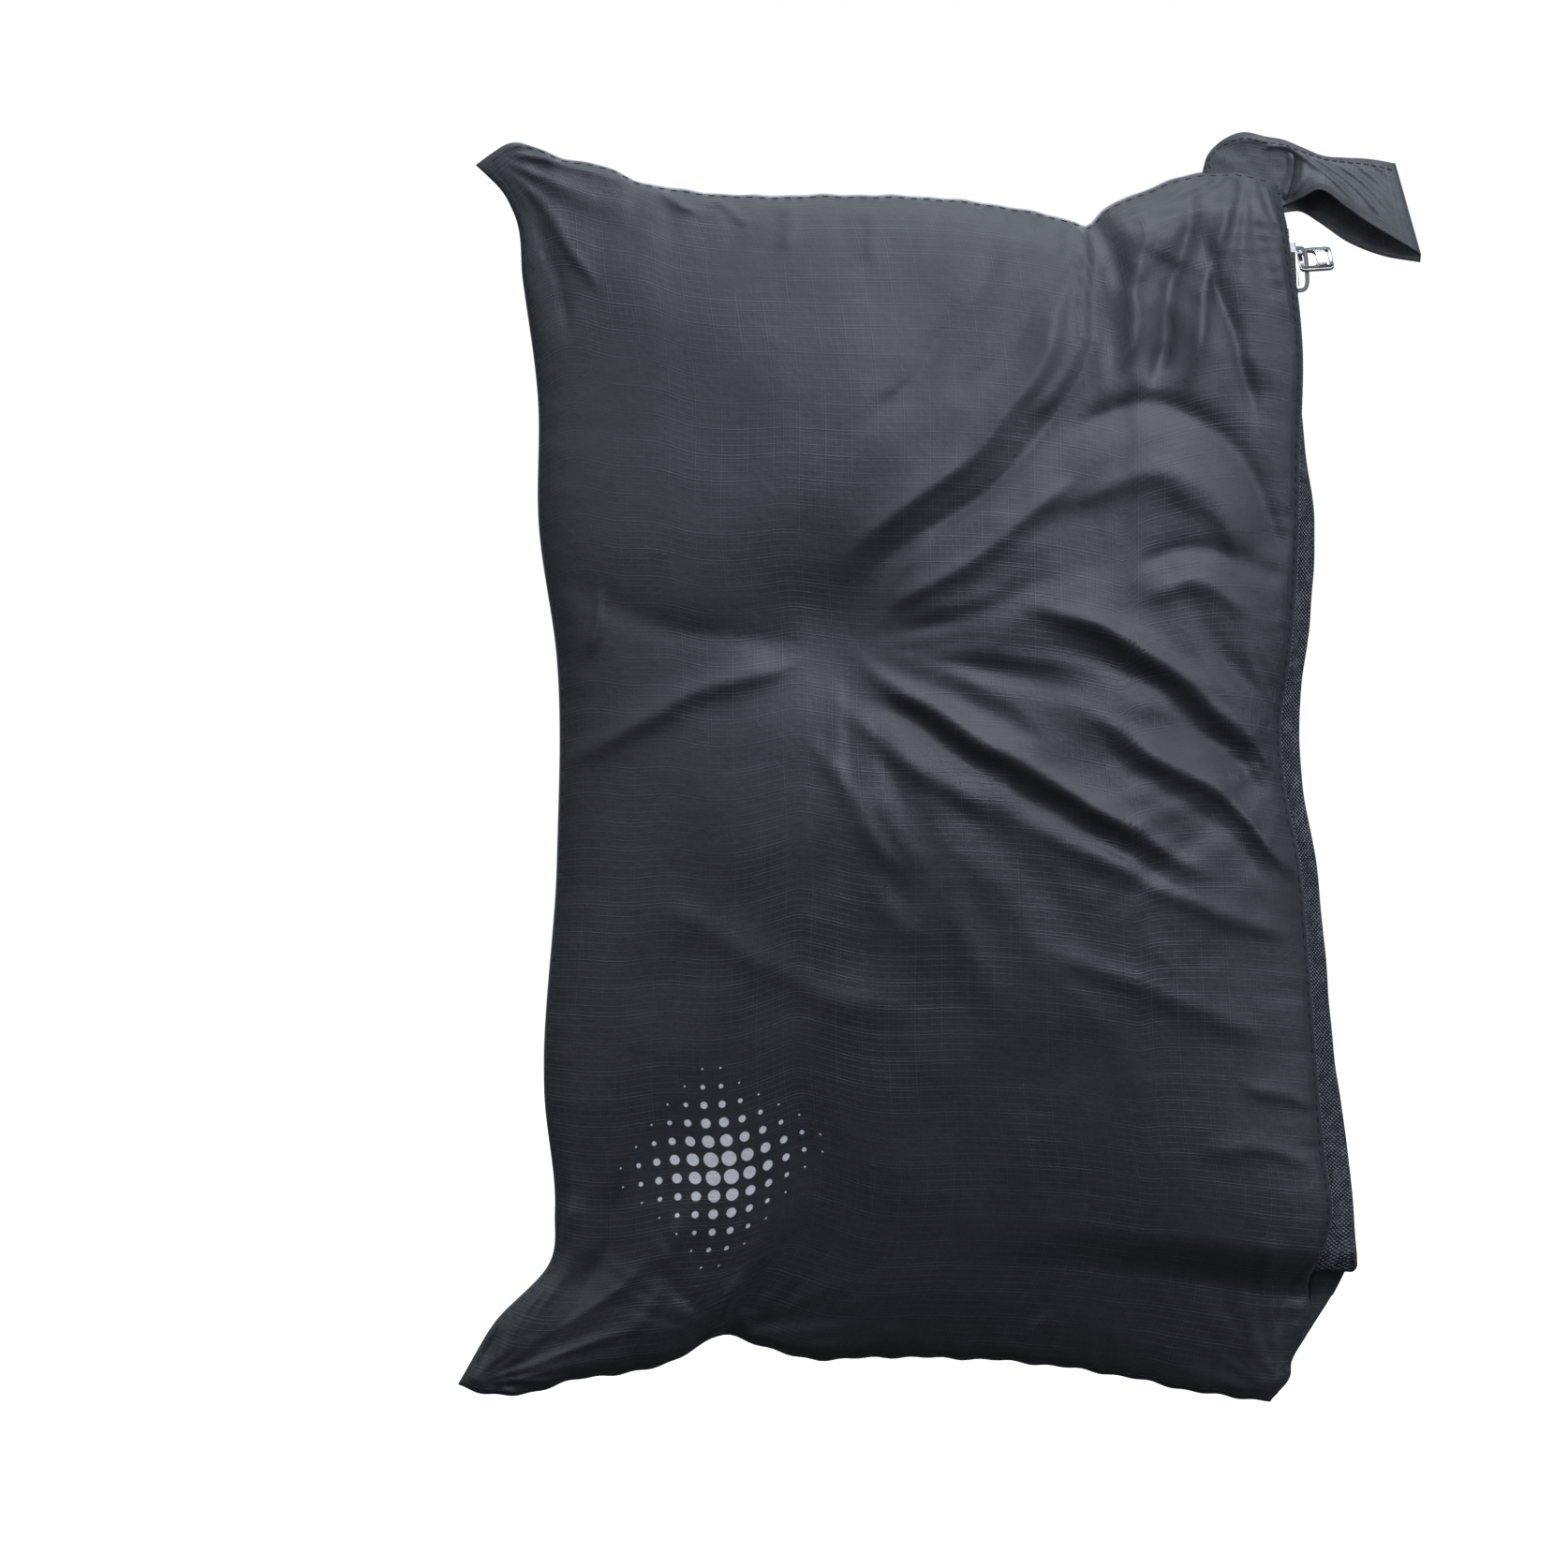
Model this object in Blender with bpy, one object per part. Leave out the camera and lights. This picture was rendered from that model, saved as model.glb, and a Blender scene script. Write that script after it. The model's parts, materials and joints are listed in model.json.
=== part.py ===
"""A zipped stuff sack, packed full and hanging upright from its loop.

Metres, +Z up. The front faces -Y, the seams lie in the plane Y = 0, and the origin is at the
top right corner, where the hang loop is sewn in. The zip runs down the right side, leaning a
little outwards, and everything on it is placed in the frame of the zip line: u outwards from
the sack, v along Y, w up the zip.
"""

import math

import bmesh
import bpy
from mathutils import Matrix, Vector

# The sack
SACK_WIDTH = 0.184  # from the left seam to the zip at the top
SACK_HEIGHT = 0.282  # from the top seam to the bottom seam
FRONT_BULGE = 0.026  # depth of the front panel at its fullest
BACK_BULGE = 0.025
BACK_FLAT_DEPTH = 0.0215  # the packed back is flat from this depth on
PANEL_THICKNESS = 0.0008  # hemmed fabric, measured along Y
SEAM_GAP = 0.0011  # between the two panels at the closing seam
LOAD_CLEARANCE = 0.0005
DENT_DEPTH = 0.007  # the shallow hollow in the middle of the front
DENT_CENTRE = (-0.105, -0.107)
DENT_RADIUS = 0.024
LEFT_CORNER_REACH = 0.008  # how far the two left corners stand out as ears
COLUMNS = 14
ROWS = 17
LOAD_INSET = 2  # cells between the packed load and the edge of a panel

# The zip
ZIP_START = 0.010  # below the top corner
ZIP_LENGTH = 0.245
ZIP_LEAN = math.atan(0.0652)
ZIP_OFFSET = -0.0008  # where the zip line meets the height of the top corner
ZIP_END_RUN = 0.0085  # from the zip's lower end to where the side seam closes
BAND_HALF = 0.0065  # from the middle of the zip to the edge of a panel
TAPE_THICKNESS = 0.0005
TAPE_TUCK = 0.0055  # the part of a tape that is sewn under its panel
TAPE_END_REACH = 0.45  # how far a tape's ends run on, as a share of the last row of a panel
COIL_GAP = 0.0015  # between the two rows of teeth
COIL_WIDTH = 0.0019
COIL_HEIGHT = 0.0014
THREAD = 0.0005
CLEARANCE = 0.0003

# The slider
SLIDER_LENGTH = 0.0122
SLIDER_DROP = 0.0098  # from the zip's upper end to the middle of the slider at rest
SLIDER_WALL = 0.0010
SLIDER_LIP = 0.0009  # the rim that closes a side of the slider down to the tape
SLIDER_FLARE = 0.0007  # the mouth is this much wider on each side than the tail
SLIDER_CORNER = 0.0012
WEDGE_LOW = 0.15  # the wedge's two ends, as shares of half the slider's length above its middle
WEDGE_HIGH = 0.75
WEDGE_HALF = 0.0004
CROWN_WIDTH = 0.0018
CROWN_WALL = 0.0008
CROWN_HEIGHT = 0.0020  # clear height under the crown
CROWN_LENGTH = 0.0108
TAB_LENGTH = 0.0081
TAB_WIDTH = 0.0080
TAB_THICKNESS = 0.0009
TAB_BAR = 0.0010  # the bar that sits under the crown
TAB_EYE = 0.0034
TAB_SIDE = 0.0012  # the plate that is left on each side of the eye
TAB_CORNER = 0.0012
TAB_SLOT_IN = 0.0012  # from the tab's end to the middle of its slot
TAB_SLOT = 0.0008
TAB_TWIST = math.radians(48)  # the loose tab lies turned in its eye
TAB_SEAT = 0.0022  # from the middle of the slider up to the tab's bar
PIN_HALF = 0.0003
PIN_DROP = 0.0030  # from the middle of the slider down to the locking pin
SPRING_WALL = 0.0003
SPRING_END = -0.0006
STOP_LENGTH = 0.0022
STOP_WALL = 0.00025
END_TAB_LENGTH = 0.0080

# The hang loop
LOOP_LENGTH = 0.0275
LOOP_BAND = Vector((0.0066, 0, -0.0180))  # across the band, along the sewn root
LOOP_DROOP = math.atan2(0.006, 0.0266)
LOOP_HALF_GAP = 0.0034
LOOP_ROOT_GAP = 0.00035  # half the gap between the two legs at the sewn root
LOOP_THICKNESS = 0.0008
LOOP_ROOT = Vector((0.0010, 0, 0.0110))  # upper end of the sewn root
LOOP_START = 0.0013  # from the root line to the free part of the loop
BASE_HALF_THICKNESS = 0.0006
BASE_LENGTH = 0.0166  # along the top seam
BASE_HUMP = ((-0.0164, 0.0082), (-0.0125, 0.0112), (-0.0085, 0.0127), (-0.0035, 0.0122))

# Worked out from the sizes above
PANEL_EDGE = SEAM_GAP / 2
COIL_INNER = COIL_GAP / 2
COIL_OUTER = COIL_INNER + COIL_WIDTH
COIL_BOTTOM = TAPE_THICKNESS / 2 + CLEARANCE
COIL_TOP = COIL_BOTTOM + COIL_HEIGHT
SLIDER_INNER_FACE = -TAPE_THICKNESS / 2 - CLEARANCE
SLIDER_OUTER_FACE = COIL_TOP + CLEARANCE
SLIDER_TOP = SLIDER_OUTER_FACE + SLIDER_WALL
SLIDER_BOTTOM = SLIDER_INNER_FACE - SLIDER_WALL
SLIDER_HALF = COIL_OUTER + CLEARANCE + SLIDER_LIP


def clear_scene():
    for item in list(bpy.data.objects):
        bpy.data.objects.remove(item, do_unlink=True)


def material(name, colour, roughness, metallic=0.0):
    made = bpy.data.materials.new(name)
    made.use_nodes = True
    shader = made.node_tree.nodes["Principled BSDF"]
    shader.inputs["Base Color"].default_value = (*colour, 1)
    shader.inputs["Roughness"].default_value = roughness
    shader.inputs["Metallic"].default_value = metallic
    return made


def finish(name, shape, colour_of, parent=None, location=(0, 0, 0), smooth=None):
    """Turns a bmesh into a named object with its own material."""
    mesh = bpy.data.meshes.new(name)
    bmesh.ops.recalc_face_normals(shape, faces=shape.faces)
    shape.to_mesh(mesh)
    shape.free()
    if smooth is not None:
        mesh.shade_smooth()
        mesh.set_sharp_from_angle(angle=math.radians(smooth))
    made = bpy.data.objects.new(name, mesh)
    bpy.context.collection.objects.link(made)
    made.data.materials.append(colour_of)
    made.location = location
    made.parent = parent
    return made


def empty(name, location, turn=0.0, parent=None):
    made = bpy.data.objects.new(name, None)
    bpy.context.collection.objects.link(made)
    made.location = location
    made.rotation_euler = (0, turn, 0)
    made.parent = parent
    return made


def block(low, high):
    """A box between two corners, as a new bmesh."""
    shape = bmesh.new()
    middle = (Vector(low) + Vector(high)) / 2
    size = Vector(high) - Vector(low)
    bmesh.ops.create_cube(shape, size=1, matrix=Matrix.Translation(middle) @ Matrix.Diagonal((*size, 1)))
    return shape


def prism(outline, direction):
    """A flat outline of points, extruded along a direction into a closed solid."""
    shape = bmesh.new()
    face = shape.faces.new([shape.verts.new(point) for point in outline])
    swept = bmesh.ops.extrude_face_region(shape, geom=[face])
    moved = [item for item in swept["geom"] if isinstance(item, bmesh.types.BMVert)]
    bmesh.ops.translate(shape, verts=moved, vec=direction)
    return shape


def combine(target, shape, name, operation="DIFFERENCE"):
    """Cuts a bmesh out of an object, or joins it on, with a Boolean modifier."""
    tool = finish(name, shape, steel, parent=target.parent, location=target.location)
    tool.hide_render = True
    tool.display_type = "WIRE"
    modifier = target.modifiers.new(name, "BOOLEAN")
    modifier.operation = operation
    modifier.object = tool


def through(points, t):
    """A smooth curve through (place, value) points, read at t."""
    count = len(points)
    slopes = []
    for index in range(count):
        before = points[max(index - 1, 0)]
        after = points[min(index + 1, count - 1)]
        slopes.append((after[1] - before[1]) / (after[0] - before[0]))
    for index in range(count - 1):
        (t0, v0), (t1, v1) = points[index], points[index + 1]
        if t <= t1 or index == count - 2:
            step = t1 - t0
            s = (t - t0) / step
            rise = (1 + 2 * s) * (1 - s) ** 2 * v0 + s * (1 - s) ** 2 * step * slopes[index]
            return rise + s * s * (3 - 2 * s) * v1 + s * s * (s - 1) * step * slopes[index + 1]


def smooth_step(t):
    t = min(max(t, 0), 1)
    return t * t * (3 - 2 * t)


# The outline: each edge as (share of its run, offset from the plain rectangle)
LEFT_EDGE = (
    (0, -0.75 * LEFT_CORNER_REACH),
    (0.05, 0.002),
    (0.13, 0.007),
    (0.42, 0.013),
    (0.60, 0.013),
    (0.88, 0.010),
    (0.94, 0.002),
    (1, -1.25 * LEFT_CORNER_REACH),
)
TOP_EDGE = (
    (0, 0.006),
    (0.10, 0.006),
    (0.20, 0.001),
    (0.60, -0.002),
    (0.76, -0.008),
    (0.84, 0.000),
    (0.90, 0.0035),
    (1, 0.002),
)
BOTTOM_EDGE = (
    (0, -0.004),
    (0.15, 0.000),
    (0.32, 0.010),
    (0.42, 0.005),
    (0.70, 0.004),
    (0.86, -0.001),
    (1, -0.006),
)
BOTTOM_CORNER_X = -0.002


def zip_x(z):
    return ZIP_OFFSET - z * math.tan(ZIP_LEAN)


def right_x(z):
    """The right edge: to the zip's upper end, down the zip, and in to the bottom corner."""
    zip_end = -ZIP_START - ZIP_LENGTH
    if z > zip_end:
        return zip_x(z)
    corner = -SACK_HEIGHT + BOTTOM_EDGE[-1][1]
    share = (zip_end - z) / (zip_end - corner)
    return zip_x(zip_end) + share**1.3 * (BOTTOM_CORNER_X - zip_x(zip_end))


def row_shares():
    """Shares of the height for the rows of the panels, with rows at both ends of the zip."""
    top = TOP_EDGE[-1][1]
    bottom = -SACK_HEIGHT + BOTTOM_EDGE[-1][1]
    zip_end = -ZIP_START - ZIP_LENGTH
    closed = zip_end - ZIP_END_RUN
    heights = [top]
    heights += [-ZIP_START - ZIP_LENGTH * step / ROWS for step in range(ROWS + 1)]
    heights += [closed, (closed + bottom) / 2, bottom]
    return [(top - height) / (top - bottom) for height in heights]


def column_shares():
    even = [step / COLUMNS for step in range(COLUMNS + 1)]
    return [0.35 * share + 0.65 * (1 - math.cos(math.pi * share)) / 2 for share in even]


def place(a, b):
    """The point of the seam plane at share a across and share b down."""
    z = (1 - b) * through(TOP_EDGE, a) + b * (-SACK_HEIGHT + through(BOTTOM_EDGE, a))
    edge_z = (1 - b) * TOP_EDGE[-1][1] + b * (-SACK_HEIGHT + BOTTOM_EDGE[-1][1])
    left = -SACK_WIDTH + through(LEFT_EDGE, b)
    return left + a * (right_x(edge_z) - left), z


def band(b):
    """Half the width that the zip keeps open between the panels."""
    shares = row_shares()
    zip_shares = shares[1 : ROWS + 2]
    if b < zip_shares[0]:
        return BAND_HALF * b / zip_shares[0]
    if b <= zip_shares[-1]:
        return BAND_HALF
    return BAND_HALF * max(0, 1 - (b - zip_shares[-1]) / (shares[ROWS + 2] - zip_shares[-1]))


def depth(a, b, bulge, flat=None, dent=0.0):
    """How far the inside of a panel stands from the seam plane."""
    x, z = place(a, b)
    round_x = max(math.sin(math.pi * a), 0) ** 0.6
    round_z = max(math.sin(math.pi * b), 0) ** 0.55
    hollow = math.hypot(x - DENT_CENTRE[0], z - DENT_CENTRE[1]) / DENT_RADIUS
    full = bulge * round_x * round_z - dent * math.exp(-(hollow**2) / 2)
    full += band(b) * smooth_step(2 * a - 1)
    if flat is not None:
        full = min(full, flat)
    return PANEL_EDGE + full


def front_depth(a, b):
    return depth(a, b, FRONT_BULGE, dent=DENT_DEPTH)


def back_depth(a, b):
    return depth(a, b, BACK_BULGE, flat=BACK_FLAT_DEPTH)


def slab(columns, rows, near, far):
    """A closed solid between the points near(column, row) and far(column, row)."""
    shape = bmesh.new()
    bmesh.ops.create_grid(shape, x_segments=len(columns) - 1, y_segments=len(rows) - 1, size=0.5)
    swept = bmesh.ops.extrude_face_region(shape, geom=shape.faces[:])
    copied = [item for item in swept["geom"] if isinstance(item, bmesh.types.BMVert)]
    bmesh.ops.translate(shape, verts=copied, vec=(0, 0, 1))
    for vertex in shape.verts:
        column = columns[round((vertex.co.x + 0.5) * (len(columns) - 1))]
        row = rows[round((0.5 - vertex.co.y) * (len(rows) - 1))]
        surface = far if vertex.co.z > 0.5 else near
        vertex.co = surface(column, row)
    return shape


def stand(a, b, y):
    """The point at shares a and b of the outline, off the seam plane by y."""
    x, z = place(a, b)
    return Vector((x, y, z))


def panel(name, side, depth_of):
    """A fabric panel: side is -1 at the front and 1 at the back."""
    shape = slab(
        column_shares(),
        row_shares(),
        lambda a, b: stand(a, b, side * depth_of(a, b)),
        lambda a, b: stand(a, b, side * (depth_of(a, b) + PANEL_THICKNESS)),
    )
    finish(name, shape, ripstop, smooth=60)


def packed_load():
    """The packed clothing: the inside of the sack, short of its edges and of the zip."""
    shape = slab(
        column_shares()[LOAD_INSET:-LOAD_INSET],
        row_shares()[LOAD_INSET:-LOAD_INSET],
        lambda a, b: stand(a, b, LOAD_CLEARANCE - front_depth(a, b)),
        lambda a, b: stand(a, b, back_depth(a, b) - LOAD_CLEARANCE),
    )
    finish("packed_load", shape, filling, smooth=60)


def thread(name, points):
    """A round sewing thread along points."""
    curve = bpy.data.curves.new(name, "CURVE")
    curve.dimensions = "3D"
    curve.bevel_depth = THREAD / 2
    curve.bevel_resolution = 1
    curve.use_fill_caps = True
    spline = curve.splines.new("POLY")
    spline.points.add(len(points) - 1)
    for knot, point in zip(spline.points, points):
        knot.co = (*point, 1)
    curve.materials.append(sewing)
    made = bpy.data.objects.new(name, curve)
    bpy.context.collection.objects.link(made)


def closing_seam():
    """The thread that joins the panels down the left side, along the top and along the bottom."""
    inset = column_shares()[1] / 3
    drop = row_shares()[1] / 3
    columns = [share for share in column_shares() if inset < share < 1 - inset]
    rows = [share for share in row_shares() if drop < share < 1 - drop]
    path = [(a, drop) for a in reversed([inset, *columns])]
    path += [(inset, b) for b in rows]
    path += [(a, 1 - drop) for a in [inset, *columns]]
    points = []
    for a, b in path:
        x, z = place(a, b)
        points.append((x, 0, z))
    thread("closing_seam_thread", points)


def zip_stitching(name, side, depth_of):
    """The row of stitches that holds a panel on its zipper tape."""
    columns = column_shares()
    a = 1 - (1 - columns[-2]) * 0.4
    share = (1 - a) / (1 - columns[-2])
    lift = PANEL_THICKNESS + THREAD / 2 + 2 * CLEARANCE
    points = []
    for b in row_shares()[1 : ROWS + 2]:
        edge_x, edge_z = place(1, b)
        next_x, next_z = place(columns[-2], b)
        y = (1 - share) * depth_of(1, b) + share * depth_of(columns[-2], b) + lift
        x = edge_x + share * (next_x - edge_x)
        points.append((x, side * y, edge_z + share * (next_z - edge_z)))
    thread(name, points)


def tape_section(side, depth_of, b):
    """Points across a tape at share b down: beside the teeth, at the bend, and under the panel."""
    outwards = Vector((math.cos(ZIP_LEAN), 0, math.sin(ZIP_LEAN))) * TAPE_THICKNESS / 2
    inner_column = column_shares()[-2]
    edge = stand(1, b, depth_of(1, b))
    inside = stand(inner_column, b, depth_of(inner_column, b))
    tuck = edge.lerp(inside, TAPE_TUCK / (inside - edge).length)
    teeth = Vector((edge.x, COIL_INNER, edge.z))
    gap = Vector((0, 2 * CLEARANCE, 0))
    thick = Vector((0, TAPE_THICKNESS * 1.5, 0))
    outer = (teeth + outwards, edge - gap + outwards, tuck - gap)
    inner = (teeth - outwards, edge - gap - thick / 2 - outwards, tuck - gap - thick)
    return [[Vector((p.x, side * p.y, p.z)) for p in face] for face in (outer, inner)]


def zipper_tape(name, side, depth_of):
    """A tape, flat beside the teeth and tucked under its panel, with both ends turned in."""
    shares = row_shares()[: ROWS + 3]
    sections = [tape_section(side, depth_of, b) for b in shares]

    def between(first, second, share):
        return [[p.lerp(q, share) for p, q in zip(*faces)] for faces in zip(first, second)]

    sections[0] = between(sections[0], sections[1], 1 - TAPE_END_REACH)
    sections[-1] = between(sections[-2], sections[-1], TAPE_END_REACH)
    shape = slab(
        (0, 1, 2),
        sections,
        lambda column, section: section[0][column],
        lambda column, section: section[1][column],
    )
    finish(name, shape, webbing)


def span(side, inner, outer):
    """Two distances from the zip's middle as a low and a high v on one side of it."""
    return sorted((side * inner, side * outer))


def top_stop(name, side, parent):
    """A metal clip folded over the edge of a tape, above the teeth."""
    high_w = -CLEARANCE
    low_w = high_w - STOP_LENGTH
    near, far = span(side, COIL_INNER - CLEARANCE - STOP_WALL, COIL_OUTER)
    shape = block((-COIL_BOTTOM - STOP_WALL, near, low_w), (COIL_TOP, far, high_w))
    clip = finish(name, shape, steel, parent=parent)
    near, far = span(side, COIL_INNER - CLEARANCE, COIL_OUTER + CLEARANCE)
    slot = block((-COIL_BOTTOM, near, low_w - CLEARANCE), (COIL_BOTTOM, far, high_w + CLEARANCE))
    combine(clip, slot, f"{name}_slot")


def on_tape(name, low, high, colour_of, parent):
    """A piece that lies on the outside of the tapes, with its outer edges rounded."""
    shape = block((COIL_BOTTOM, *low), (COIL_TOP, *high))
    upper = [edge for edge in shape.edges if all(v.co.x > COIL_BOTTOM + 1e-6 for v in edge.verts)]
    round_off = COIL_HEIGHT / 4
    bmesh.ops.bevel(
        shape, geom=upper, offset=round_off, segments=2, profile=0.5, affect="EDGES", material=-1
    )
    finish(name, shape, colour_of, parent=parent, smooth=40)


def slider_body(parent):
    """Two plates joined by the wedge between them, with rims that close down to the tapes."""
    half_length = SLIDER_LENGTH / 2
    tail = SLIDER_HALF
    mouth = SLIDER_HALF + SLIDER_FLARE
    outline = [
        (tail - SLIDER_CORNER, -half_length),
        (tail, SLIDER_CORNER - half_length),
        (mouth, half_length - 2 * SLIDER_CORNER),
        (mouth - SLIDER_CORNER, half_length),
    ]
    outline += [(-v, w) for v, w in reversed(outline)]
    shape = prism([(SLIDER_BOTTOM, v, w) for v, w in outline], (SLIDER_TOP - SLIDER_BOTTOM, 0, 0))
    rims = [edge for edge in shape.edges if abs(edge.verts[0].co.x - edge.verts[1].co.x) < 1e-9]
    bmesh.ops.bevel(shape, geom=rims, offset=0.0003, segments=2, profile=0.5, affect="EDGES", material=-1)
    body = finish("slider_body", shape, steel, parent=parent, smooth=35)
    past = SLIDER_LENGTH
    channel = COIL_OUTER + CLEARANCE
    for side, word in ((-1, "front"), (1, "back")):
        near, far = span(side, WEDGE_HALF, channel)
        lane = block((SLIDER_INNER_FACE, near, -past), (SLIDER_OUTER_FACE, far, past))
        combine(body, lane, f"slider_lane_{word}")
        near, far = span(side, WEDGE_HALF, past)
        slot = block((SLIDER_INNER_FACE, near, -past), (COIL_BOTTOM, far, past))
        combine(body, slot, f"slider_slot_{word}")
    throat_end = half_length * WEDGE_LOW
    lower = block((SLIDER_INNER_FACE, -channel, -past), (SLIDER_OUTER_FACE, channel, throat_end))
    combine(body, lower, "slider_throat")
    mouth_end = half_length * WEDGE_HIGH
    upper = block((SLIDER_INNER_FACE, -channel, mouth_end), (SLIDER_OUTER_FACE, channel, past))
    combine(body, upper, "slider_mouth")
    hole = PIN_HALF + CLEARANCE
    window = block((COIL_TOP, -hole, -PIN_DROP - hole), (SLIDER_TOP + CLEARANCE, hole, hole - PIN_DROP))
    combine(body, window, "slider_pin_window")


def arch(half_length, height, count):
    """Points over an arch from its lower foot to its upper one, in (u, w)."""
    points = []
    for step in range(count + 1):
        angle = math.pi * step / count
        reach = math.copysign(abs(math.cos(angle)) ** 0.5, -math.cos(angle))
        points.append((SLIDER_TOP + CLEARANCE + height * math.sin(angle) ** 0.5, half_length * reach))
    return points


def slider_crown(parent):
    """The stamped crown, an arch over the outer plate that holds the tab and the spring."""
    outer = arch(CROWN_LENGTH / 2, CROWN_HEIGHT + CROWN_WALL, 16)
    inner = arch(CROWN_LENGTH / 2 - CROWN_WALL, CROWN_HEIGHT, 16)
    outline = [(u, -CROWN_WIDTH / 2, w) for u, w in outer + inner[::-1]]
    shape = prism(outline, (0, CROWN_WIDTH, 0))
    finish("slider_crown", shape, steel, parent=parent, smooth=50)


def lock_spring(parent):
    """The leaf under the crown, with the pin that drops through the plate to the teeth."""
    half = CROWN_WIDTH / 2 - CLEARANCE
    low = SLIDER_TOP + CLEARANCE
    leaf = block((low, -half, -PIN_DROP - PIN_HALF * 3), (low + SPRING_WALL, half, SPRING_END))
    spring = finish("slider_lock_spring", leaf, steel, parent=parent)
    pin_low = (COIL_TOP + CLEARANCE, -PIN_HALF, -PIN_DROP - PIN_HALF)
    pin = block(pin_low, (low + SPRING_WALL / 2, PIN_HALF, PIN_HALF - PIN_DROP))
    combine(spring, pin, "lock_pin", "UNION")


def rounded(half_length, half_width, radius, steps=4):
    """A rectangle with round corners in (along, across), centred on the origin."""
    points = []
    for quarter, (sx, sy) in enumerate(((1, 1), (-1, 1), (-1, -1), (1, -1))):
        for step in range(steps + 1):
            angle = math.pi / 2 * (quarter + step / steps)
            along = sx * (half_length - radius) + radius * math.cos(angle)
            across = sy * (half_width - radius) + radius * math.sin(angle)
            points.append((along, across))
    return points


def pull_tab(parent):
    """A flat tab whose eye is threaded on the crown, with a slot for a cord near its end."""
    half = TAB_THICKNESS / 2
    middle = TAB_LENGTH / 2 - TAB_BAR / 2
    plate = rounded(TAB_LENGTH / 2, TAB_WIDTH / 2, TAB_CORNER)
    shape = prism([(middle + l, d, -half) for l, d in plate], (0, 0, TAB_THICKNESS))
    rims = [edge for edge in shape.edges if abs(edge.verts[0].co.z - edge.verts[1].co.z) < 1e-9]
    bmesh.ops.bevel(shape, geom=rims, offset=0.0002, segments=2, profile=0.5, affect="EDGES", material=-1)
    tab = finish("pull_tab", shape, steel, parent=parent, smooth=40)
    holes = (
        ("tab_eye", TAB_BAR / 2 + TAB_EYE / 2, TAB_EYE / 2),
        ("tab_slot", TAB_LENGTH - TAB_BAR / 2 - TAB_SLOT_IN, TAB_SLOT / 2),
    )
    for word, centre, half_length in holes:
        edge = rounded(half_length, TAB_WIDTH / 2 - TAB_SIDE, half_length * 0.8)
        cut = prism([(centre + l, d, -TAB_THICKNESS) for l, d in edge], (0, 0, 2 * TAB_THICKNESS))
        combine(tab, cut, word)


def loop_base():
    """The sewn end of the loop's band, standing on the top seam beside the corner."""
    lower_z = (LOOP_ROOT + LOOP_BAND).z + PANEL_THICKNESS
    outline = [((LOOP_ROOT + LOOP_BAND).x, lower_z), (PANEL_THICKNESS, lower_z), (PANEL_THICKNESS, 0)]
    for share in (0, 0.25, 0.5, 0.75, 1):
        x = -BASE_LENGTH * share - CLEARANCE
        outline.append((x, through(TOP_EDGE, 1 + x / SACK_WIDTH) + 3 * CLEARANCE))
    outline += [*BASE_HUMP, (LOOP_ROOT.x, LOOP_ROOT.z)]
    points = [(x, -BASE_HALF_THICKNESS, z) for x, z in outline]
    finish("loop_base", prism(points, (0, 2 * BASE_HALF_THICKNESS, 0)), ripstop)


def hang_loop(parent):
    """The free part of the band, out to its folded tip and back, open between its two legs."""
    lean = Vector((math.cos(LOOP_DROOP), 0, -math.sin(LOOP_DROOP)))
    points = []
    count = 12
    for side in (-1, 1):
        shares = range(count + 1) if side < 0 else range(count - 1, -1, -1)
        for step in shares:
            s = step / count
            spread = LOOP_ROOT_GAP * (1 - s) + LOOP_HALF_GAP * max(math.sin(math.pi * s), 0) ** 0.75
            out = lean * (LOOP_START + s * LOOP_LENGTH)
            points.append(out + Vector((0, side * spread, 0)) - LOOP_BAND / 2)
    shape = bmesh.new()
    corners = [shape.verts.new(point) for point in points]
    edges = [shape.edges.new(pair) for pair in zip(corners, corners[1:])]
    swept = bmesh.ops.extrude_edge_only(shape, edges=edges)
    moved = [item for item in swept["geom"] if isinstance(item, bmesh.types.BMVert)]
    bmesh.ops.translate(shape, verts=moved, vec=LOOP_BAND)
    made = finish("hang_loop", shape, ripstop, parent=parent, smooth=60)
    wall = made.modifiers.new("cloth", "SOLIDIFY")
    wall.thickness = LOOP_THICKNESS
    wall.offset = 1


clear_scene()
ripstop = material("black_ripstop", (0.016, 0.018, 0.021), 0.42)
filling = material("packed_textile", (0.10, 0.10, 0.11), 0.95)
webbing = material("zipper_tape", (0.010, 0.011, 0.012), 0.85)
nylon = material("nylon_teeth", (0.012, 0.013, 0.014), 0.45)
sewing = material("sewing_thread", (0.008, 0.009, 0.010), 0.8)
steel = material("polished_metal", (0.80, 0.80, 0.80), 0.14, metallic=1.0)

zip_line = empty("zip_line", (zip_x(-ZIP_START), 0, -ZIP_START), turn=-ZIP_LEAN)
slider_seat = empty("slider_seat", (0, 0, -SLIDER_DROP), parent=zip_line)
tab_height = SLIDER_TOP + CLEARANCE + CROWN_HEIGHT / 2
tab_joint = empty("tab_joint", (tab_height, 0, TAB_SEAT), parent=slider_seat)
tab_joint.rotation_euler.x = TAB_TWIST
loop_joint = empty("loop_joint", LOOP_ROOT + LOOP_BAND / 2)

panel("front_panel", -1, front_depth)
panel("back_panel", 1, back_depth)
packed_load()
closing_seam()

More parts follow.
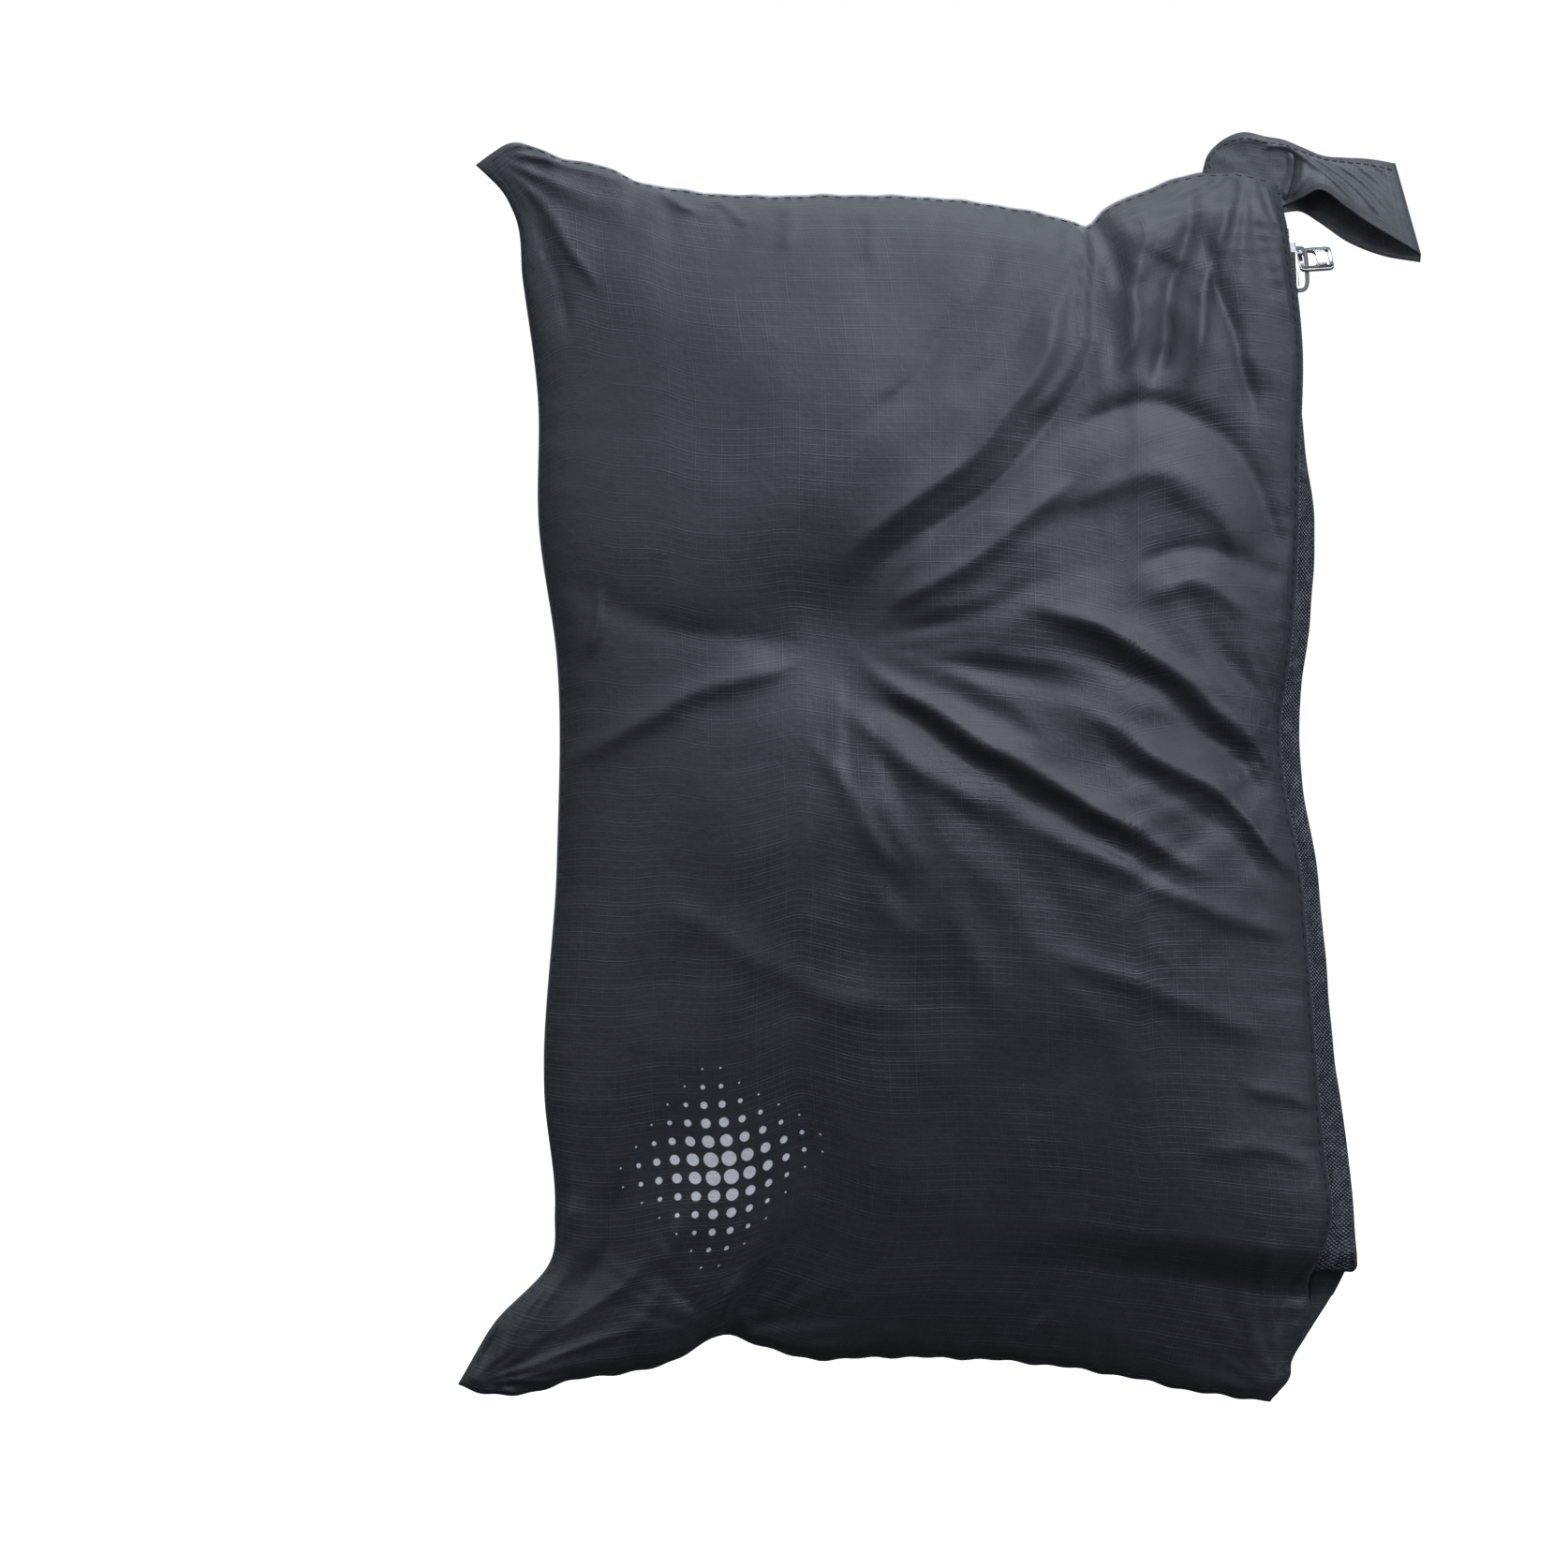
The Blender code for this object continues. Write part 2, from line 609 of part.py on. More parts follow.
coil_top = -STOP_LENGTH - 2 * CLEARANCE
coil_end = -ZIP_LENGTH + END_TAB_LENGTH
stop_end = coil_end - CLEARANCE - STOP_LENGTH
for side, word, depth_of in ((-1, "front", front_depth), (1, "back", back_depth)):
    zipper_tape(f"zipper_tape_{word}", side, depth_of)
    zip_stitching(f"zip_stitching_{word}", side, depth_of)
    near, far = span(side, COIL_INNER, COIL_OUTER)
    on_tape(f"zipper_coil_{word}", (near, coil_end), (far, coil_top), nylon, zip_line)
    top_stop(f"top_stop_{word}", side, zip_line)
low_w = coil_end - CLEARANCE
on_tape("bottom_stop", (-COIL_OUTER, low_w - STOP_LENGTH), (COIL_OUTER, low_w), steel, zip_line)
tab_high = low_w - STOP_LENGTH - CLEARANCE
end_tab_half = BAND_HALF - 2 * CLEARANCE
on_tape("zipper_end_tab", (-end_tab_half, -ZIP_LENGTH), (end_tab_half, tab_high), webbing, zip_line)

slider_body(slider_seat)
slider_crown(slider_seat)
lock_spring(slider_seat)
pull_tab(tab_joint)
loop_base()
hang_loop(loop_joint)
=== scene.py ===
# %% [markdown]
# # A zipped stuff sack, packed full
#
# The sack is a flat pouch of black ripstop nylon, packed tight with soft clothing. A zip runs down
# its right side, a small chromed slider rides on the zip, and a sewn band makes a hang loop at the
# top right corner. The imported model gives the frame: where the zip runs, where the slider and its
# tab are, and which body each piece moves with. This script makes the surfaces that are seen.
#
# It could start from an empty file, with sizes typed in again. It loads the frame instead, so
# that every place below is worked out from the model and the pieces fit it without any trying.

# %% Load the frame
import json
import math

import bmesh
import bpy
import numpy as np
from mathutils import Matrix, Vector, noise


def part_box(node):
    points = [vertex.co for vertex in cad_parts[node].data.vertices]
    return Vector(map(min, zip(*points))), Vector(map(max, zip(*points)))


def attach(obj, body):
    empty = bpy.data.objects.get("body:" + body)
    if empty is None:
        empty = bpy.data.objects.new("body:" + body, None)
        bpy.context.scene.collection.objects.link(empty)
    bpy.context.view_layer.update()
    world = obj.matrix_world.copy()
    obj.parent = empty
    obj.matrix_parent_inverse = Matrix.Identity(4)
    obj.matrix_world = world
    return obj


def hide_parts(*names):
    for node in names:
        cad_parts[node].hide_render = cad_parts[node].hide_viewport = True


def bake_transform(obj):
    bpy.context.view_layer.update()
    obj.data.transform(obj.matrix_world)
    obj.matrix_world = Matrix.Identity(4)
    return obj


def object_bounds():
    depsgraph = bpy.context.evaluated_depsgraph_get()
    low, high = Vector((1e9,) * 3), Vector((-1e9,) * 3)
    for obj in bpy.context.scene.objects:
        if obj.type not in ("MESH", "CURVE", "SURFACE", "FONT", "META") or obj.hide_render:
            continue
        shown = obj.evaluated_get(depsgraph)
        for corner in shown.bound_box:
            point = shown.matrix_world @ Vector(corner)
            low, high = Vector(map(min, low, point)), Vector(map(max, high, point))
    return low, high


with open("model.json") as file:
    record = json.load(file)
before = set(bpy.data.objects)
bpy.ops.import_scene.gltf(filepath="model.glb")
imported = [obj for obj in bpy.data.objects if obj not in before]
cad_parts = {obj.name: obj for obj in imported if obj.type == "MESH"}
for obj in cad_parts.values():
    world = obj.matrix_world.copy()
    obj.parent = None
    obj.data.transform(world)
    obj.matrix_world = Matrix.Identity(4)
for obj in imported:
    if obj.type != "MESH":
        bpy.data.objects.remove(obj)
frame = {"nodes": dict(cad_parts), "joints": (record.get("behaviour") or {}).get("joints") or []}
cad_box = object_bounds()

nodes = frame["nodes"]
print("model box:", [round(side, 4) for side in cad_box[1] - cad_box[0]])

# %% [markdown]
# ## The camera, the light and the floor
#
# The sack is looked at square on, from about a metre away, against white. A soft box above and in
# front lights the upper half of the cloth, and the lower half turns away from it and goes dark.
#
# A bare white world would light all sides the same and flatten the folds. So the world is white
# only where the camera sees it, and dim below and brighter above for everything else. The floor
# is pale and lies well below the sack, because the sack hangs from its loop. Reflections don't
# see the floor, which keeps the underside of each fold dark.

# %% Camera
def add_to_scene(name, data):
    made = bpy.data.objects.new(name, data)
    bpy.context.scene.collection.objects.link(made)
    return made


FRAME_WIDTH = 0.372  # what the picture takes in at the sack's seam plane
LENS = 100.0
SENSOR = 36.0
view_centre = Vector((-0.1176, 0, -0.1416))
camera = add_to_scene("camera", bpy.data.cameras.new("camera"))
camera.data.lens = LENS
camera.data.sensor_width = SENSOR
distance = LENS * FRAME_WIDTH / SENSOR
camera.location = view_centre - Vector((0, distance, 0))
camera.rotation_euler = (math.radians(90), 0, 0)
bpy.context.scene.camera = camera
bpy.context.scene.view_settings.view_transform = "Standard"
print("camera at", tuple(round(value, 3) for value in camera.location))


# %% Lights
LIGHT_TINT = (0.85, 0.90, 1.0)


def soft_box(name, place, width, height, power):
    """A rectangular light that faces the middle of the sack."""
    lamp = bpy.data.lights.new(name, "AREA")
    lamp.shape = "RECTANGLE"
    lamp.size = width
    lamp.size_y = height
    lamp.energy = power
    lamp.color = LIGHT_TINT
    made = add_to_scene(name, lamp)
    made.location = place
    made.rotation_euler = (view_centre - Vector(place)).to_track_quat("-Z", "Y").to_euler()


soft_box("key_light", (0.10, -0.74, 0.44), 0.6, 0.34, 4.4)
soft_box("corner_light", (0.44, -0.66, 0.47), 0.3, 0.3, 2.4)
soft_box("top_light", (-0.10, -0.16, 0.80), 0.9, 0.4, 6.0)
soft_box("left_light", (-1.0, -0.80, 0.25), 0.5, 0.7, 2.4)
soft_box("side_light", (0.95, -0.55, 0.15), 0.3, 0.9, 3.6)
soft_box("back_light", (-0.2, 1.1, 0.8), 1.2, 0.7, 14)

# %% World
SKY = ((0.0, (0.07, 0.072, 0.078)), (0.8, (0.76, 0.79, 0.87)))  # how high, and the colour there
world = bpy.data.worlds.new("studio")
bpy.context.scene.world = world
world.use_nodes = True
tree = world.node_tree
background = tree.nodes["Background"]
where = tree.nodes.new("ShaderNodeTexCoord")
height = tree.nodes.new("ShaderNodeSeparateXYZ")
tree.links.new(where.outputs["Generated"], height.inputs[0])
sky = tree.nodes.new("ShaderNodeValToRGB")
for stop, (position, colour) in zip(sky.color_ramp.elements, SKY):
    stop.position = position
    stop.color = (*colour, 1)
tree.links.new(height.outputs["Z"], sky.inputs[0])
ray = tree.nodes.new("ShaderNodeLightPath")
seen = tree.nodes.new("ShaderNodeMix")
seen.data_type = "RGBA"
tree.links.new(ray.outputs["Is Camera Ray"], seen.inputs["Factor"])
tree.links.new(sky.outputs[0], seen.inputs[6])
seen.inputs[7].default_value = (1, 1, 1, 1)
tree.links.new(seen.outputs[2], background.inputs["Color"])
print("world nodes:", len(tree.nodes))

# %% Floor
FLOOR_DROP = 0.30  # from the sack's lowest point down to the floor
FLOOR_HALF = 6  # half the floor's width
shape = bmesh.new()
floor_height = cad_box[0].z - FLOOR_DROP
floor_place = Matrix.Translation((0, 0, floor_height))
bmesh.ops.create_grid(shape, x_segments=1, y_segments=1, size=FLOOR_HALF, matrix=floor_place)
floor_mesh = bpy.data.meshes.new("floor")
shape.to_mesh(floor_mesh)
shape.free()
floor = add_to_scene("floor", floor_mesh)
paint = bpy.data.materials.new("floor_paint")
paint.use_nodes = True
floor_shader = paint.node_tree.nodes["Principled BSDF"]
floor_shader.inputs["Base Color"].default_value = (0.8, 0.8, 0.8, 1)
floor_shader.inputs["Roughness"].default_value = 0.9
floor_shader.inputs["Emission Color"].default_value = (1, 1, 1, 1)
floor_shader.inputs["Emission Strength"].default_value = 0.9
floor.data.materials.append(paint)
floor.visible_glossy = False
floor.visible_diffuse = False
print("floor at", round(floor_height, 3))

# %% [markdown]
# ## Writing shader maths as sums
#
# A material here is a tree of nodes. Linking dozens of Math nodes by hand is long and hard to
# read. A small class wraps a socket and gives it +, -, * and the rest, so that a pattern reads
# like the formula it is, and each sign adds its own Math node. Any other node comes from one
# method that takes its type, its settings and its sockets.


# %% A socket that can be used in sums
class Value:
    """A node's output, with the signs that add Math nodes."""

    def __init__(self, finish, socket):
        self.finish = finish
        self.socket = socket

    def maths(self, operation, *others):
        values = {index: value for index, value in enumerate((self, *others))}
        return self.finish.node("ShaderNodeMath", {"operation": operation}, values)

    def __add__(self, other):
        return self.maths("ADD", other)

    def __sub__(self, other):
        return self.maths("SUBTRACT", other)

    def __rsub__(self, other):
        return self.finish.node("ShaderNodeMath", {"operation": "SUBTRACT"}, {0: other, 1: self})

    def __mul__(self, other):
        return self.maths("MULTIPLY", other)

    def __truediv__(self, other):
        return self.maths("DIVIDE", other)

    def __pow__(self, other):
        return self.maths("POWER", other)

    __radd__ = __add__
    __rmul__ = __mul__

    def sine(self):
        return self.maths("SINE")

    def repeat(self):
        """The part after the point: a saw that restarts at each whole number."""
        return self.maths("FRACT")

    def clamp(self):
        return self.finish.node("ShaderNodeClamp", {}, {"Value": self})


class Finish:
    """A material in the making, around one Principled shader."""

    def __init__(self, name, **constants):
        self.material = bpy.data.materials.new(name)
        self.material.use_nodes = True
        self.tree = self.material.node_tree
        self.shader = self.tree.nodes["Principled BSDF"]
        for socket, value in constants.items():
            self.shader.inputs[socket.replace("_", " ")].default_value = value

    def node(self, kind, settings, sockets, output=0):
        made = self.tree.nodes.new(kind)
        for name, value in settings.items():
            if name == "stops":
                self.set_stops(made.color_ramp, value)
            else:
                setattr(made, name, value)
        for name, value in sockets.items():
            self.plug(made.inputs[name], value)
        return Value(self, made.outputs[output])

    def set_stops(self, ramp, stops):
        while len(ramp.elements) < len(stops):
            ramp.elements.new(0.5)
        for element, (position, shade) in zip(ramp.elements, stops):
            element.position = position
            element.color = (*shade, 1)

    def plug(self, socket, value):
        if isinstance(value, Value):
            self.tree.links.new(value.socket, socket)
        else:
            socket.default_value = value

    def uv(self):
        """The piece's own flat coordinates, in metres across and along the cloth."""
        flat = self.node("ShaderNodeUVMap", {"uv_map": "cloth"}, {})
        split = self.node("ShaderNodeSeparateXYZ", {}, {0: flat})
        return split, Value(self, split.socket.node.outputs[1])

    def place(self):
        return self.node("ShaderNodeTexCoord", {}, {}, output="Object")

    def noise(self, scale, detail=3.0, roughness=0.5):
        """Noise that is laid through the piece's own space."""
        sockets = {"Vector": self.place(), "Scale": scale, "Detail": detail, "Roughness": roughness}
        return self.node("ShaderNodeTexNoise", {}, sockets)

    def blend(self, factor, first, second):
        """A mix of two colours."""
        sockets = {0: factor, 6: first, 7: second}
        return self.node("ShaderNodeMix", {"data_type": "RGBA"}, sockets, output=2)

    def bump(self, height, distance, strength=1.0, below=None):
        sockets = {"Height": height, "Distance": distance, "Strength": strength}
        if below is not None:
            sockets["Normal"] = below
        return self.node("ShaderNodeBump", {}, sockets)

    def wear(self, **results):
        for socket, value in results.items():
            self.plug(self.shader.inputs[socket.replace("_", " ")], value)
        return self.material


print("sums ready")

# %% [markdown]
# ## Ripstop
#
# Ripstop is a plain weave of fine nylon thread with a thicker thread every few threads, which
# makes a grid of small squares. The cloth has a satin coating: it is black, but it shines softly
# where it turns to the light. On the real cloth the grid shows only in places, more strongly
# across than down.
#
# An image could hold the weave, but it would blur close up. Here the grid is worked out from the
# cloth's own flat coordinates in metres, so it follows every fold and stays sharp.


# %% Ripstop
RIP_PITCH = 0.0016  # between two thick threads
RIP_LINE = 0.16  # how much of a square the thick thread takes
STRONG_EVERY = 4  # each fourth thick thread is stronger
THREAD_PITCH = 0.00028
CLOTH_TINT = (0.0165, 0.0185, 0.0215)
BAND_PAINTED_LIGHT_TINT = (0.036, 0.039, 0.044)  # painted paler than the panels' cloth: painted light, for the lamp light the band catches
MARK_CENTRE = (-0.1485, -0.2390)  # on the cloth, in metres
MARK_PITCH = 0.0044
MARK_RINGS = 7.0  # from the largest dot to where they have shrunk to nothing
DOT_RADIUS = 0.50  # of the largest dot, as a share of the pitch
DOT_CRISPNESS = 25
SILVER = (0.66, 0.67, 0.69, 1)


def thread_lines(along, pitch, share):
    """1 on the thick threads and 0 between them."""
    distance_from_line = ((along / pitch).repeat() - 0.5).maths("ABSOLUTE")
    return (distance_from_line * (-2 / share) + 1).clamp()


def dotted_mark(finish, across, down):
    """A plain diamond of round dots, the largest in the middle: 1 in a dot, 0 outside."""
    u, v = (across - MARK_CENTRE[0]) / MARK_PITCH, (down - MARK_CENTRE[1]) / MARK_PITCH
    inside = ((u.repeat() - 0.5) ** 2 + (v.repeat() - 0.5) ** 2) ** 0.5
    cell_u, cell_v = u.maths("FLOOR") + 0.5, v.maths("FLOOR") + 0.5
    ring = cell_u.maths("ABSOLUTE") + cell_v.maths("ABSOLUTE")
    return ((DOT_RADIUS - inside - ring * (DOT_RADIUS / MARK_RINGS)) * DOT_CRISPNESS).clamp()


def ripstop_finish(name, tint, with_mark=False):
    finish = Finish(name, IOR=1.46, Sheen_Weight=0.10, Sheen_Roughness=0.35)
    finish.shader.inputs["Sheen Tint"].default_value = (0.75, 0.85, 1.0, 1)
    across, down = finish.uv()
    patchy = finish.noise(55, detail=2)
    rows = thread_lines(down, RIP_PITCH, RIP_LINE) * 0.7
    rows += thread_lines(down, RIP_PITCH * STRONG_EVERY, RIP_LINE / STRONG_EVERY * 1.5)
    columns = thread_lines(across, RIP_PITCH, RIP_LINE) * 0.35
    columns += thread_lines(across, RIP_PITCH * STRONG_EVERY, RIP_LINE / STRONG_EVERY * 1.5) * 0.6
    shown = (patchy * 3.2 - 1.1).clamp()
    grid = (rows + columns) * (shown * 0.75 + 0.25)
    weave = (across * (math.tau / THREAD_PITCH)).sine() * (down * (math.tau / THREAD_PITCH)).sine()
    mottle = finish.noise(900, detail=2)
    dark = tuple(channel * 0.80 for channel in tint)
    pale = tuple(channel * 2.7 for channel in tint)
    cloth = finish.blend((grid * 0.60 + mottle * 0.22).clamp(), (*dark, 1), (*pale, 1))
    crumple = finish.noise(75, detail=4, roughness=0.55)
    soft = finish.bump(crumple, 0.00085, 0.55)
    woven = finish.bump(grid * 0.6 + weave * 0.10 + mottle * 0.22, 0.00012, 0.7, below=soft)
    rough = finish.noise(40, detail=2) * 0.10 + (0.42 - 0.06 * shown) + mottle * 0.03
    if not with_mark:
        return finish.wear(Base_Color=cloth, Roughness=rough, Normal=woven)
    mark = dotted_mark(finish, across, down) * (mottle * 0.5 + 0.7)
    silver = finish.blend(mark.clamp(), cloth, SILVER)
    return finish.wear(
        Base_Color=silver, Roughness=rough + mark * 0.06, Metallic=mark.clamp() * 0.25, Normal=woven
    )


ripstop = ripstop_finish("black_ripstop", CLOTH_TINT)
printed = ripstop_finish("printed_ripstop", CLOTH_TINT, with_mark=True)
# The band gets a paler copy of the black ripstop, as painted light on the hang loop.
band_painted_light_ripstop = ripstop_finish("band_ripstop_painted_light", BAND_PAINTED_LIGHT_TINT)
print("ripstop nodes:", len(ripstop.node_tree.nodes))

# %% [markdown]
# ## Zipper tape, teeth, thread and metal
#
# The tape is a matt warp knit: small loops in rows, which catch the light as tiny beads. The
# teeth are a bent nylon line with a low shine. Thread is twisted polyester, matt with a fine
# spiral. The slider and its tab are stamped from metal and plated, bright as a mirror, with the
# light scuffs of a thing that rubs against other things in a bag.


# %% Tape, nylon and thread
KNIT_PITCH = 0.0009


def knitted_tape():
    finish = Finish("knitted_tape", IOR=1.40)
    across, along = finish.uv()
    stray = finish.noise(1400, detail=2)
    loops = (across * (math.tau / KNIT_PITCH) + stray * 3).sine()
    rows = (along * (math.tau / KNIT_PITCH) + stray * 3.5).sine()
    # Noise that makes the painted glints on the loops, and their bump, patchy.
    patchy_glints_and_relief = finish.noise(420, detail=2)
    beads = (loops * rows * 1.3 + patchy_glints_and_relief * 1.8 - 0.75).clamp()
    # The loops are painted pale into the tape's colour: painted glints where they catch the light. The same
    # mask gives their bump and a lower roughness.
    shade = finish.blend(beads, (0.006, 0.0065, 0.0075, 1), (0.13, 0.145, 0.17, 1))
    relief = finish.bump(beads, 0.00022, 1.0)
    return finish.wear(Base_Color=shade, Roughness=beads * -0.3 + 0.85, Normal=relief)


def nylon_line():
    finish = Finish("nylon_teeth", IOR=1.52)
    cloudy = finish.noise(700, detail=3)
    shade = finish.blend(cloudy, (0.010, 0.011, 0.012, 1), (0.026, 0.027, 0.029, 1))
    return finish.wear(Base_Color=shade, Roughness=cloudy * 0.15 + 0.30)


def sewing_thread():
    finish = Finish("black_thread", IOR=1.40)
    fuzz = finish.noise(2600, detail=3)
    shade = finish.blend(fuzz, (0.006, 0.006, 0.007, 1), (0.024, 0.025, 0.028, 1))
    return finish.wear(Base_Color=shade, Roughness=fuzz * 0.2 + 0.6, Normal=finish.bump(fuzz, 0.0001, 0.6))


knit = knitted_tape()
nylon = nylon_line()
thread_black = sewing_thread()
print("made:", knit.name, nylon.name, thread_black.name)


# %% Plated metal and the filling
def plated_metal():
    finish = Finish("plated_metal", Metallic=1.0, Specular_IOR_Level=0.6)
    wide = finish.noise(260, detail=3)
    fine = finish.noise(2400, detail=4, roughness=0.7)
    shade = finish.blend(wide, (0.80, 0.81, 0.83, 1), (0.92, 0.92, 0.92, 1))
    scuffs = finish.bump(wide * 0.7 + fine * 0.3, 0.00006, 0.35)
    return finish.wear(Base_Color=shade, Roughness=fine * 0.10 + 0.07, Normal=scuffs)


def clothing():
    finish = Finish("packed_clothing", Sheen_Weight=0.4)
    nap = finish.noise(900, detail=4)
    shade = finish.blend(nap, (0.05, 0.05, 0.055, 1), (0.14, 0.14, 0.15, 1))
    return finish.wear(Base_Color=shade, Roughness=nap * 0.1 + 0.88, Normal=finish.bump(nap, 0.0006, 0.8))


chrome = plated_metal()
filling = clothing()
print("made:", chrome.name, filling.name)

# %% [markdown]
# ## Curves and outlines
#
# The sack's outline isn't a rectangle: the two left corners stand out as ears, the top seam dips
# to a deep notch near the loop, and the bottom seam has a smaller one. Each edge is a smooth
# curve through a few chosen points, given in millimetres from the top right corner, where the
# loop is sewn in. The curve is a cubic one, which passes through its points without corners.

# %% Curves
MM = 0.001


def in_metres(*axes):
    """Points from their coordinates in millimetres, one array to an axis."""
    return np.stack(axes, axis=1) * MM


def through(points, t):
    """A smooth curve through (place, value) points, read at the places in t."""
    places, values = np.array(points, float).T
    slopes = np.gradient(values, places)
    index = np.clip(np.searchsorted(places, t, side="right") - 1, 0, len(places) - 2)
    step = places[index + 1] - places[index]
    s = np.clip((t - places[index]) / step, 0, 1)
    start = (1 + 2 * s) * (1 - s) ** 2 * values[index] + s * (1 - s) ** 2 * step * slopes[index]
    end = s**2 * (3 - 2 * s) * values[index + 1] + s**2 * (s - 1) * step * slopes[index + 1]
    return start + end


def by_number(points, place):
    """A smooth line through (x, z) points, read at places counted in points from its start."""
    return [through([(i, p[axis]) for i, p in enumerate(points)], place) for axis in (0, 1)]


def smooth_step(t):
    t = np.clip(t, 0, 1)
    return t * t * (3 - 2 * t)


def bell(t):
    return np.exp(-(t**2))


def crest(t):
    """The cross section of a fold: straight flanks that meet in a narrow round top."""
    round_top = 0.30
    return np.exp(round_top - np.sqrt((1.75 * t) ** 2 + round_top**2))


print("a curve through three points:", through([(0, 0), (1, 1), (2, 0)], np.array([0.5, 1.5])))

# %% Outline of the sack, in millimetres
STITCH_PITCH = 2.7
TOP_SEAM = (
    (-190.7, 5.1), (-184, 10.0), (-170, 7.0), (-160, 4.9), (-152, 1.4), (-145, 0.0), (-131, -1.6),
    (-105, -1.7), (-81, -2.4), (-59, -5.6), (-49, -8.0), (-45.5, -8.9), (-42, -5.4), (-33, -1.0),
    (-18, 3.6), (-8, 3.4), (-0.5, 1.6),
)
BOTTOM_SEAM = (
    (-195, -284), (-189, -286.2), (-164, -282.4), (-146, -279.3), (-138, -275.2), (-132, -272.3),
    (-126, -273.8), (-117, -277), (-90, -277.6), (-64, -278.6), (-41, -281.5), (-15, -286.6),
    (-2, -288),
)
LEFT_SEAM = (
    (5.1, -190.7), (0, -185.2), (-6, -181.8), (-22, -179.6), (-50, -176.0), (-80, -175.8),
    (-112, -171.5), (-160, -171.5), (-215, -174.5), (-243, -172.0), (-255, -173.2), (-269, -186.0),
    (-284, -195.0),
)
RIGHT_SEAM = (
    (1.6, -0.5), (-6, 0.4), (-17, 2.0), (-27, 3.6), (-38, 4.6), (-60, 4.3), (-92, 3.6), (-112, 2.0),
    (-128, -0.2), (-142, 0.8), (-158, 4.0), (-180, 6.2), (-204, 8.0), (-228, 10.0), (-245, 11.6),
    (-252, 9.6), (-258, 7.0), (-268, 7.2), (-275, 4.6), (-279, 2.8), (-282, 2.6), (-288, -2.0),
)
ZIP_WAVE = ((0, 0), (-60, 0), (-80, 1.3), (-103, -1.4), (-127, -5.4), (-142, -5.6), (-160, -3.6))
ZIP_WAVE += ((-182, -2.8), (-205, -2.3), (-226, -0.7), (-243, 0), (-270, 0))


def across_share(seam, a):
    """The height of the top or bottom seam at a share a of its width."""
    first, last = seam[0][0], seam[-1][0]
    return through([((x - first) / (last - first), z) for x, z in seam], a)


def down_share(seam, b):
    """The x of the left or right seam at a share b of its height."""
    first, last = seam[0][0], seam[-1][0]
    return through([((z - first) / (last - first), x) for z, x in seam], b)


def outline_place(a, b):
    """The point of the seam plane at share a across and share b down, in millimetres.

    The thread gathers the cloth, so the top, bottom and right seams are slightly scalloped.
    """
    z = (1 - b) * across_share(TOP_SEAM, a) + b * across_share(BOTTOM_SEAM, a)
    left = down_share(LEFT_SEAM, b)
    right = down_share(RIGHT_SEAM, b)
    x = left + a * (right - left)
    z = z + 0.20 * (b**30 - 0.5 * (1 - b) ** 30) * (np.sin(x / 1.3) + np.sin(x / 2.7 + 1))
    return x - 0.30 * a**60 * np.abs(np.sin(math.pi * z / STITCH_PITCH)), z


corner = outline_place(np.array([1.0]), np.array([0.0]))
print("top right corner:", [float(value[0]) for value in corner])
